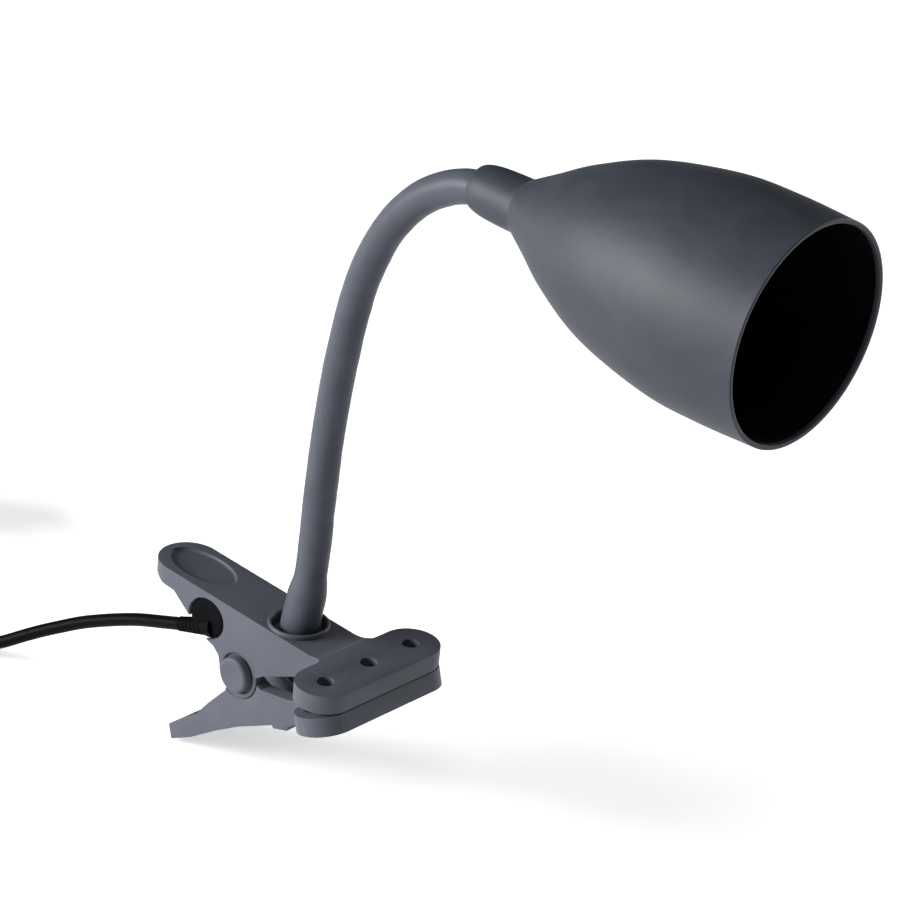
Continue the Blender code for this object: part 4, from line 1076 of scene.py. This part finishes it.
class LAMP_OT_shade(bpy.types.Operator):
    """Turn the bell shade with its collar and lip, and the black skin inside it"""

    bl_idname = "lamp.shade"
    bl_label = "Shade"

    def execute(self, context):
        outer = COLLAR + bell_points()
        inner = [point for point in offset_line(bell_points(), SHADE_WALL) if point[0] > 24.5]
        end_x, end_r = outer[-1]
        lip = [(end_x - 0.15, end_r), (end_x, end_r - 0.15), (end_x + 0.1, end_r - 0.6),
               (end_x + 0.05, end_r - 1.1), (end_x - 0.1, end_r - SHADE_WALL + 0.2),
               (end_x - 0.5, end_r - SHADE_WALL)]
        outline = outer[:-1] + lip + [point for point in reversed(inner) if point[0] < end_x - 1.0]
        outline += [(23.5, inner[0][1] - 1.2), (23.5, 5.2), (21.0, 5.2), (21.0, 7.6)]
        shade = put(turned("shade_bell", mm(outline), 128), on_shade())
        done(shade, "shade", "head", "shade", angle=34.0)
        skin = offset_line(bell_points(), SHADE_WALL + 0.12)
        skin = [point for point in skin if 25.6 < point[0] < end_x - 1.1]
        back = [(along, radius - 0.25) for along, radius in reversed(skin)]
        floor = [(23.62, skin[0][1] - 1.4), (23.62, 9.2), (23.9, 9.2), (23.9, skin[0][1] - 1.9)]
        outline = skin[::-1] + floor + back[::-1]
        lining = put(turned("shade_black_inside", mm(outline), 128), on_shade())
        done(lining, "inside", "head", angle=34.0)
        return {'FINISHED'}


class LAMP_OT_lampholder(bpy.types.Operator):
    """Turn the fitting, nut and screw lampholder that stand inside the shade"""

    bl_idname = "lamp.lampholder"
    bl_label = "Lampholder"

    def execute(self, context):
        def on_head(name, outline, look, node, sides, start=0.0, closed=True, angle=30.0):
            piece = put(turned(name, mm(outline, start), sides, closed), on_shade())
            done(piece, look, "head", node, angle=angle)

        fitting = [(8.5, 0.0), (8.5, 3.9), (8.8, 4.1), (16.0, 4.1), (16.0, 6.1), (16.3, 6.4), (20.4, 6.4),
                   (20.7, 6.2), (20.7, 4.9)]
        crest = 21.0
        while crest < 39.6:
            fitting += [(crest + 0.4, 4.5), (crest + 0.8, 4.9)]
            crest += 0.8
        fitting += [(41.0, 4.6), (41.0, 0.0)]
        on_head("head_fitting", fitting, "steel", "neck_top_fitting", 40, closed=False)
        nut = mm([(0.3, 5.3), (0.3, 8.8), (4.0, 8.8), (4.0, 5.3)], 23.5 * MM)
        nut = soften(put(turned("head_locknut", nut, 6), on_shade()), 0.35 * MM, 2)
        done(nut, "steel", "head", "shade_locknut")
        cap = [(0.0, 5.2), (0.0, 7.6), (0.4, 8.0), (2.2, 9.6), (4.0, 11.2), (7.0, 12.3), (10.0, 12.9),
               (11.6, 13.0), (12.0, 12.7), (12.0, 11.2), (5.0, 9.0), (3.4, 5.2)]
        on_head("lampholder_shoulder", cap, "black_plastic", "lampholder_cap", 96, HOLDER_AT)
        base = HOLDER_AT + 12.0 * MM + GAP
        body = [(0.0, 0.0), (0.0, 12.6), (0.4, 13.0), (14.0, 13.0)]
        for crest in range(14, 31, 2):
            body += [(crest + 0.5, 12.55), (crest + 1.5, 12.55), (crest + 2.0, 13.0)]
        body += [(32.3, 13.0), (33.0, 12.4), (33.0, 9.2), (32.6, 8.7), (10.0, 8.6), (8.0, 7.0), (8.0, 0.0)]
        on_head("lampholder_sleeve", body, "black_plastic", "lampholder_body", 96, base, closed=False)
        steps = 8
        count = 5 * steps
        shell = [(12.0 + 14.0 * step / count, 8.0 + 0.3 * math.cos(2.0 * math.pi * step / steps))
                 for step in range(count + 1)]
        shell += [(x, r - 0.4) for x, r in reversed(shell)]
        on_head("lampholder_thread", shell, "brass", "thread_shell", 72, base, angle=60.0)
        tongue = block("tongue", (base + 8.3 * MM, -1.6 * MM, -4.5 * MM),
                       (base + 8.9 * MM, 1.6 * MM, 4.5 * MM), 0.12 * MM, 2)
        button = mm([(8.8, 0.0), (8.8, 1.5), (10.4, 1.5), (10.9, 1.1), (11.0, 0.0)], base)
        button = turned("button", button, 28, closed=False)
        contact = put(join_up("lampholder_contact", tongue, button), on_shade())
        done(contact, "brass", "head", "centre_contact")
        outside = 17.0
        ring = [(16.0, 13.3), (16.0, outside - 0.6), (16.6, outside), (21.4, outside),
                (22.0, outside - 0.6), (22.0, 13.3)]
        ring = turned("lampholder_skirt_ring", mm(ring, base), 96)
        flutes = 18
        for turn in range(flutes):
            angle = 2.0 * math.pi * turn / flutes
            flute = mm([(14.0, 0.0), (14.0, 0.9), (24.0, 0.9), (24.0, 0.0)], base)
            place = Vector((0.0, math.cos(angle), math.sin(angle))) * outside * MM
            combine(ring, put(turned("flute", flute, 12, closed=False), Matrix.Translation(place)))
        put(ring, on_shade())
        done(ring, "black_plastic", "head", "lampholder_ring")
        return {'FINISHED'}


# ---------------------------------------------------------------- flex

def relief_shape(name, extra):
    """The tapered relief round the flex where it leaves the near cheek."""
    along = (Vector(LEAD_ROUTE[0]) - Vector(LEAD_ROUTE[1])).normalized()
    tip = Vector(LEAD_ROUTE[0]) * MM + along * GAP
    outline = [(0.0, 0.0), (0.0, 2.85 * MM + extra), (0.3 * MM, 3.05 * MM + extra)]
    step = 0.3
    while extra == 0.0 and step < 14.0:
        radius = (3.05 + 0.85 * step / 20.0) * MM
        outline += [(step * MM + 1.2 * MM, radius), (step * MM + 1.5 * MM, radius - 0.25 * MM),
                    (step * MM + 2.1 * MM, radius - 0.25 * MM), (step * MM + 2.4 * MM, radius + 0.06 * MM)]
        step += 2.4
    outline += [(20.0 * MM, 3.9 * MM + extra), (20.0 * MM, 0.0)]
    relief = turned(name, outline, 48, closed=False)
    return put(relief, Matrix.Translation(tip) @ facing(along))


class LAMP_OT_cord_grip(bpy.types.Operator):
    """Mould the black cord grip with its relief, and the bar and screws that clamp the flex inside"""

    bl_idname = "lamp.cord_grip"
    bl_label = "Cord grip"

    def execute(self, context):
        face = 12.3
        outline = [(4.6, 0.0), (4.6, 1.0), (8.8, 1.0), (8.8, 1.06), (9.6, 1.06), (9.6, 1.0),
                   (face - 0.7, 1.0), (face - 0.4, 0.98), (face - 0.15, 0.92), (face, 0.82),
                   (face - 0.05, 0.7), (face - 0.4, 0.5), (face - 0.5, 0.0)]
        grip = turned("cord_grip", [(y * MM, r) for y, r in outline], 96, closed=False)
        put(grip, on_notch(0.0, 9.5 * MM, 8.3 * MM))
        combine(grip, relief_shape("relief", 0.0), operation='UNION')
        done(grip, "black_rubber", "clamp", "cord_gland")
        middle = -60.0 * MM
        bar = block("cord_clamp_bar", (middle - 3.0 * MM, -9.0 * MM, 2.2 * MM),
                    (middle + 3.0 * MM, 9.0 * MM, 4.6 * MM), 0.4 * MM)
        done(bar, "black_plastic", "clamp", "cord_clamp")
        for number, side in ((1, -1), (2, 1)):
            screw = screw_head(f"cord_clamp_screw_{number}", 2.2 * MM, 1.7 * MM)
            put(screw, head_down((middle, side * 6.6 * MM, 1.9 * MM)))
            done(screw, "steel", "clamp", f"clamp_screw_{number}")
        return {'FINISHED'}


def screw_head(name, radius, depth):
    """A domed screw head with a cross slot, from the origin along +X."""
    outline = [(0.0, 0.0), (0.0, radius - 0.1 * MM), (0.1 * MM, radius), (0.55 * depth, radius),
               (0.8 * depth, 0.86 * radius), (0.95 * depth, 0.55 * radius), (depth, 0.0)]
    screw = turned(name, outline, 40, closed=False)
    long, thin = 0.62 * radius, 0.14 * radius
    for across in ((thin, long), (long, thin)):
        slot = block("slot", (0.45 * depth, -across[0], -across[1]), (2.0 * depth, across[0], across[1]))
        combine(screw, slot)
    return screw


def coil_points():
    """From the switch, round six turns in two layers, up over the coil and round to the plug."""
    points = [point.copy() for point in smooth_points([Vector(p) * MM for p in TAIL_ROUTE], 5.0 * MM)]
    offset = points[-1] - COIL_CENTRE
    start = math.atan2(offset.y, offset.x)
    rest = PLUG_TAIL[0] - COIL_CENTRE
    finish_angle = math.atan2(rest.y, rest.x)
    total = 6.0 + ((start - finish_angle) / (2.0 * math.pi)) % 1.0
    outer, middle, inner = COIL_RADII
    low = COIL_BASE + CORD_RADIUS
    high = low + 2.0 * CORD_RADIUS
    top = PLUG_TAIL[0].z
    arrive = Vector((offset.x, offset.y)).length

    def between(share, first, second):
        share = min(1.0, max(0.0, share))
        return first + (second - first) * share * share * (3.0 - 2.0 * share)

    count = round(total * 30)
    for step in range(1, count):
        t = total * step / count
        if t < 1.0:
            radius = between(t / 0.25, arrive, outer)
        elif t < 2.0:
            radius = between((t - 1.0) / 0.16, outer, middle)
        elif t < 4.0:
            radius = between((t - 2.0) / 0.16, middle, inner)
        elif t < 5.0:
            radius = between((t - 4.0) / 0.16, inner, middle)
        else:
            radius = between((t - 5.0) / 0.16, middle, outer)
        if t > total - 0.2:
            last = Vector((rest.x, rest.y)).length
            radius = between((t - total + 0.2) / 0.2, outer, last)
        height = between((t - 2.9) / 0.3, low, high)
        if t > total - 0.42:
            height = between((t - total + 0.42) / 0.4, high, top)
        angle = start - 2.0 * math.pi * t
        points.append(Vector((COIL_CENTRE.x + radius * math.cos(angle),
                              COIL_CENTRE.y + radius * math.sin(angle), height)))
    return points + smooth_points(PLUG_TAIL, 3.0 * MM)


def plug_tail_route():
    """From the top of the coil, round a bend over it, to the back of the plug."""
    top = COIL_BASE + COIL_HEIGHT + CORD_RADIUS + GAP
    entry = COIL_BASE + COIL_HEIGHT + GAP + 0.5 * PLUG_THICKNESS
    points = [(-31.0 * MM, -13.5 * MM), (-32.6 * MM, -6.5 * MM)]
    points += arc(-PLUG_OFFSET, 0.0, PLUG_TURN_RADIUS, 180.0, 90.0, 5)
    last = len(points) - 1
    route = []
    for index, (x, y) in enumerate(points):
        share = max(0.0, (index - 1) / (last - 1))
        rise = share * share * (3.0 - 2.0 * share)
        route.append(Vector((COIL_CENTRE.x + x, COIL_CENTRE.y + y, top + (entry - top) * rise)))
    return route


PLUG_TAIL = plug_tail_route()


class LAMP_OT_flex(bpy.types.Operator):
    """Lay the two lengths of flex: lamp to switch, and switch to plug by way of the coil"""

    bl_idname = "lamp.flex"
    bl_label = "Flex"

    def execute(self, context):
        lead_points = smooth_points([Vector(point) * MM for point in LEAD_ROUTE], 4.0 * MM)
        lead = tube("flex_lead", lead_points, CORD_RADIUS, 7)
        tail_points = coil_points()
        tail = tube("flex_coiled", tail_points, CORD_RADIUS, 5)
        done(lead, "flex", "clamp", "cord_lead")
        done(tail, "flex", "clamp", "cord_tail", "cord_coil", "plug_tail")
        route_length(lead_points)
        route_length(tail_points)
        return {'FINISHED'}


class LAMP_OT_coil_tie(bpy.types.Operator):
    """Wrap the soft tie round the coil"""

    bl_idname = "lamp.coil_tie"
    bl_label = "Coil tie"

    def execute(self, context):
        inner, outer = COIL_RADII[2] - CORD_RADIUS, COIL_RADII[0] + CORD_RADIUS
        low = (inner - 2.0 * GAP - TIE_THICKNESS, -3.0 * MM, -GAP - TIE_THICKNESS)
        high = (outer + GAP + TIE_THICKNESS, 3.0 * MM, COIL_HEIGHT + GAP + TIE_THICKNESS)
        strap = modified(block("coil_tie", low, high), 'BEVEL', width=2.2 * MM, segments=4)
        t = TIE_THICKNESS
        space = block("space", (low[0] + t, -9.0 * MM, low[2] + t), (high[0] - t, 9.0 * MM, high[2] - t),
                      1.4 * MM, 4)
        combine(strap, space)
        turn = Matrix.Rotation(math.radians(-30.0), 4, 'Z')
        put(strap, Matrix.Translation((COIL_CENTRE.x, COIL_CENTRE.y, COIL_BASE)) @ turn)
        done(strap, "black_rubber", "clamp", "cord_tie")
        return {'FINISHED'}


def switch_outline(inset):
    half = 0.5 * SWITCH_LENGTH - inset
    width = 0.5 * SWITCH_WIDTH - inset
    end = 3.2 * MM
    quarter = [(-half, 0.0), (-half, end)]
    quarter += [(-half + (0.5 - 0.5 * math.cos(math.pi * s)) * 15.0 * MM,
                 end + (width - end) * math.sin(0.5 * math.pi * s)) for s in (0.2, 0.4, 0.6, 0.8, 1.0)]
    top = quarter + [(-x, y) for x, y in reversed(quarter)]
    bottom = [(x, -y) for x, y in reversed(top) if y > 0.0]
    return top + bottom


class LAMP_OT_switch(bpy.types.Operator):
    """Mould the inline switch: base, cover, rocker and its screws"""

    bl_idname = "lamp.switch"
    bl_label = "Inline switch"

    def execute(self, context):
        split = FLOOR + 7.0 * MM
        top = FLOOR + SWITCH_HEIGHT
        here = Matrix.Translation((SWITCH_CENTRE.x, SWITCH_CENTRE.y, 0.0))
        base = slab("switch_case_base", switch_outline(0.0), FLOOR, split - 0.5 * GAP)
        soften(base, 0.6 * MM, 3, 50.0)
        for side in (-1, 1):
            hole = mm([(-1.0, 0.0), (-1.0, 2.3), (2.6, 2.3), (2.6, 0.0)], FLOOR)
            hole = turned("hole", hole, 32, closed=False)
            combine(base, put(hole, upright((side * SWITCH_SCREW_OFFSET, 0.0, 0.0))))
        put(base, here)
        done(base, "black_plastic", "clamp", "switch_base")
        cover = slab("switch_case_cover", switch_outline(0.0), split + 0.5 * GAP, top)
        soften(cover, 1.8 * MM, 5, 50.0)
        window = mm([(-9.4, -5.4), (9.4, -5.4), (9.4, 5.4), (-9.4, 5.4)])
        window = slab("window", window, top - 7.0 * MM, top + 3.0 * MM)
        combine(cover, soften(window, 1.0 * MM, 4, 50.0))
        for x in (-19.0, -17.2, -15.4, 15.4, 17.2, 19.0):
            combine(cover, block("rib", (x * MM - 0.3 * MM, -4.0 * MM, top - 0.4 * MM),
                                 (x * MM + 0.3 * MM, 4.0 * MM, top + MM)))
        put(cover, here)
        done(cover, "black_plastic", "clamp", "switch_cover")
        profile = mm([(-8.8, -2.2), (8.8, -2.2), (8.8, 0.2), (6.0, -0.18), (3.0, -0.46), (0.0, -0.5),
                      (-3.0, 0.3), (-6.0, 1.4), (-8.8, 2.6)])
        rocker = slab("switch_case_rocker", profile, -4.9 * MM, 4.9 * MM, 'Y')
        soften(rocker, 0.45 * MM, 3, 30.0)
        for x in (4.4, 5.6, 6.8):
            combine(rocker, block("grip", (x * MM - 0.22 * MM, -3.4 * MM, -0.45 * MM),
                                  (x * MM + 0.22 * MM, 3.4 * MM, 2.0 * MM)))
        place = Vector((SWITCH_CENTRE.x, SWITCH_CENTRE.y, top - 1.6 * MM))
        put(rocker, Matrix.Translation(place))
        done(rocker, "black_plastic", "rocker", "switch_rocker")
        for number, side in ((1, -1), (2, 1)):
            screw = screw_head(f"switch_case_screw_{number}", 1.8 * MM, 1.7 * MM)
            place = (SWITCH_CENTRE.x + side * SWITCH_SCREW_OFFSET, SWITCH_CENTRE.y, FLOOR + 2.3 * MM)
            put(screw, head_down(place))
            done(screw, "steel", "clamp", f"switch_screw_{number}")
        return {'FINISHED'}


class LAMP_OT_plug(bpy.types.Operator):
    """Mould the flat two-pin plug with its ribbed relief, and turn its pins"""

    bl_idname = "lamp.plug"
    bl_label = "Plug"

    def execute(self, context):
        back = PLUG_TAIL[-1] + Vector((1.1 * MM, 0.0, 0.0))
        relief_end = back + Vector((PLUG_RELIEF, 0.0, 0.0))
        half = 0.5 * PLUG_WIDTH
        length = PLUG_LENGTH
        outline = mm([(0.0, -6.0), (2.0, -8.6), (4.6, -12.4), (8.0, -15.6)])
        outline += [(12.0 * MM, -half), (length, -half)]
        outline += [(x, -y) for x, y in reversed(outline)]
        body = slab("plug_moulding", outline, -0.5 * PLUG_THICKNESS, 0.5 * PLUG_THICKNESS)
        soften(body, 2.2 * MM, 5, 40.0)
        for side in (-1, 1):
            for step in range(5):
                x = (13.0 + 3.0 * step) * MM
                y = side * (half + 2.0 * MM)
                groove = block("groove", (x - 0.5 * MM, y - 2.6 * MM, -9.0 * MM),
                               (x + 0.5 * MM, y + 2.6 * MM, 9.0 * MM), 0.3 * MM, 2)
                combine(body, groove)
        put(body, Matrix.Translation(relief_end))
        relief = [(0.0, 0.0), (0.0, 3.1), (0.3, 3.3)]
        for step in range(4):
            x = 1.0 + 2.3 * step
            r = 3.35 + 0.32 * step
            relief += [(x, r), (x + 0.3, r - 0.35), (x + 0.9, r - 0.35), (x + 1.2, r + 0.1)]
        relief += [(12.0, 4.9), (12.0, 0.0)]
        relief = turned("relief", mm(relief), 48, closed=False)
        put(relief, Matrix.Translation(back))
        combine(body, relief, operation='UNION')
        done(body, "black_plastic", "clamp", "plug_body")
        for number, side in ((1, -1), (2, 1)):
            r = PLUG_PIN_RADIUS
            tip = PLUG_PIN_LENGTH
            pin = [(0.0, 0.0), (0.0, r), (10.0 * MM, r), (10.1 * MM, r - 0.12 * MM),
                   (10.5 * MM, r - 0.12 * MM), (10.6 * MM, r), (tip - 1.4 * MM, r),
                   (tip - 0.7 * MM, r - 0.25 * MM), (tip - 0.1 * MM, r - 0.9 * MM), (tip, 0.0)]
            pin = turned(f"plug_prong_{number}", pin, 40, closed=False)
            start = relief_end + Vector((length + GAP, side * 0.5 * PLUG_PIN_PITCH, 0.0))
            put(pin, Matrix.Translation(start))
            done(pin, "steel", "clamp", f"plug_pin_{number}")
        return {'FINISHED'}


# ---------------------------------------------------------------- stage

def area_light(name, place, size, power):
    """A soft rectangular light that faces the lamp."""
    clear_selection()
    bpy.ops.object.light_add(type='AREA', location=place)
    light = bpy.context.active_object
    light.name = name
    light.data.shape = 'RECTANGLE'
    light.data.size, light.data.size_y = size
    light.data.energy = power
    light.rotation_euler = (LIGHT_AIM - Vector(place)).to_track_quat('-Z', 'Y').to_euler()


class LAMP_OT_stage(bpy.types.Operator):
    """Set the camera, the pale floor and the soft studio lights"""

    bl_idname = "lamp.stage"
    bl_label = "Stage"

    def execute(self, context):
        stage = context.scene.lamp_stage
        a, e, r = stage.azimuth, stage.elevation, stage.roll
        back = Vector((math.sin(a) * math.cos(e), -math.cos(a) * math.cos(e), math.sin(e)))
        right = Vector((math.cos(a), math.sin(a), 0.0))
        upward = back.cross(right)
        turned_right = math.cos(r) * right + math.sin(r) * upward
        turned_up = back.cross(turned_right)
        clear_selection()
        bpy.ops.object.camera_add(location=Vector(stage.aim) + back * stage.distance)
        camera = bpy.context.active_object
        camera.name = "stage_camera"
        camera.rotation_euler = Matrix((turned_right, turned_up, back)).transposed().to_euler()
        camera.data.sensor_width = 36.0
        camera.data.lens = stage.lens
        camera.data.clip_start = 0.01
        camera.data.clip_end = 20.0
        context.scene.camera = camera
        clear_selection()
        bpy.ops.mesh.primitive_plane_add(size=24.0, location=(0.0, 0.0, FLOOR - 0.2 * MM))
        floor = bpy.context.active_object
        floor.name = "stage_floor"
        glow = {"Emission Color": (1.0, 1.0, 1.0, 1.0), "Emission Strength": 0.5}
        paint = Paint("studio_floor", (0.9, 0.9, 0.9), 0.8, **glow)
        mottle = paint.grain(paint.place(), 9.0, 3.0)
        paint.feed("Base Color", paint.mixed(mottle, (0.89, 0.89, 0.89), (0.92, 0.92, 0.92)))
        floor.data.materials.append(paint.material)
        area_light("stage_key", (-1.86, -2.22, 0.86), (1.8, 1.2), 182.0)
        area_light("stage_top", (0.5, -0.5, 2.2), (1.4, 1.4), 14.0)
        area_light("stage_far", (0.5, 2.6, 0.4), (1.6, 0.5), 30.0)
        world = context.scene.world or bpy.data.worlds.new("studio_world")
        context.scene.world = world
        world.use_nodes = True
        sky = world.node_tree.nodes.get("Background")
        sky.inputs["Color"].default_value = (0.95, 0.96, 1.0, 1.0)
        seen = world.node_tree.nodes.new('ShaderNodeLightPath')
        level = world.node_tree.nodes.new('ShaderNodeMapRange')
        level.inputs["To Min"].default_value = 0.1
        level.inputs["To Max"].default_value = 0.75
        world.node_tree.links.new(seen.outputs["Is Camera Ray"], level.inputs["Value"])
        world.node_tree.links.new(level.outputs[0], sky.inputs["Strength"])
        context.scene.view_settings.view_transform = 'Standard'
        return {'FINISHED'}


class LAMP_PT_lamp(bpy.types.Panel):
    """Lists the lamp's sizes, colours and operators"""

    bl_idname = "LAMP_PT_lamp"
    bl_label = "Reading Lamp"
    bl_space_type = 'VIEW_3D'
    bl_region_type = 'UI'
    bl_category = "Lamp"

    def draw(self, context):
        layout = self.layout
        for title, group in (("Sizes", context.scene.lamp_sizes), ("Colours", context.scene.lamp_colours),
                             ("Stage", context.scene.lamp_stage)):
            box = layout.box()
            box.label(text=title)
            for key in group.__annotations__:
                box.prop(group, key)
        column = layout.column(align=True)
        for operator in OPERATORS:
            column.operator(operator.bl_idname)


GROUPS = (LampColours, LampSizes, StageSettings)
OPERATORS = (LAMP_OT_stage, LAMP_OT_upper_lever, LAMP_OT_lower_lever, LAMP_OT_grip_pads, LAMP_OT_pivot,
             LAMP_OT_neck_foot, LAMP_OT_neck, LAMP_OT_shade, LAMP_OT_lampholder, LAMP_OT_cord_grip,
             LAMP_OT_switch, LAMP_OT_plug, LAMP_OT_coil_tie, LAMP_OT_flex)


def register():
    for item in (*GROUPS, *OPERATORS, LAMP_PT_lamp):
        bpy.utils.register_class(item)
    bpy.types.Scene.lamp_colours = PointerProperty(type=LampColours)
    bpy.types.Scene.lamp_sizes = PointerProperty(type=LampSizes)
    bpy.types.Scene.lamp_stage = PointerProperty(type=StageSettings)


def unregister():
    del bpy.types.Scene.lamp_stage
    del bpy.types.Scene.lamp_sizes
    del bpy.types.Scene.lamp_colours
    for item in reversed((*GROUPS, *OPERATORS, LAMP_PT_lamp)):
        bpy.utils.unregister_class(item)


def main():
    register()
    for operator in OPERATORS:
        group, name = operator.bl_idname.split(".")
        getattr(getattr(bpy.ops, group), name)()


if __name__ == "__main__":
    main()
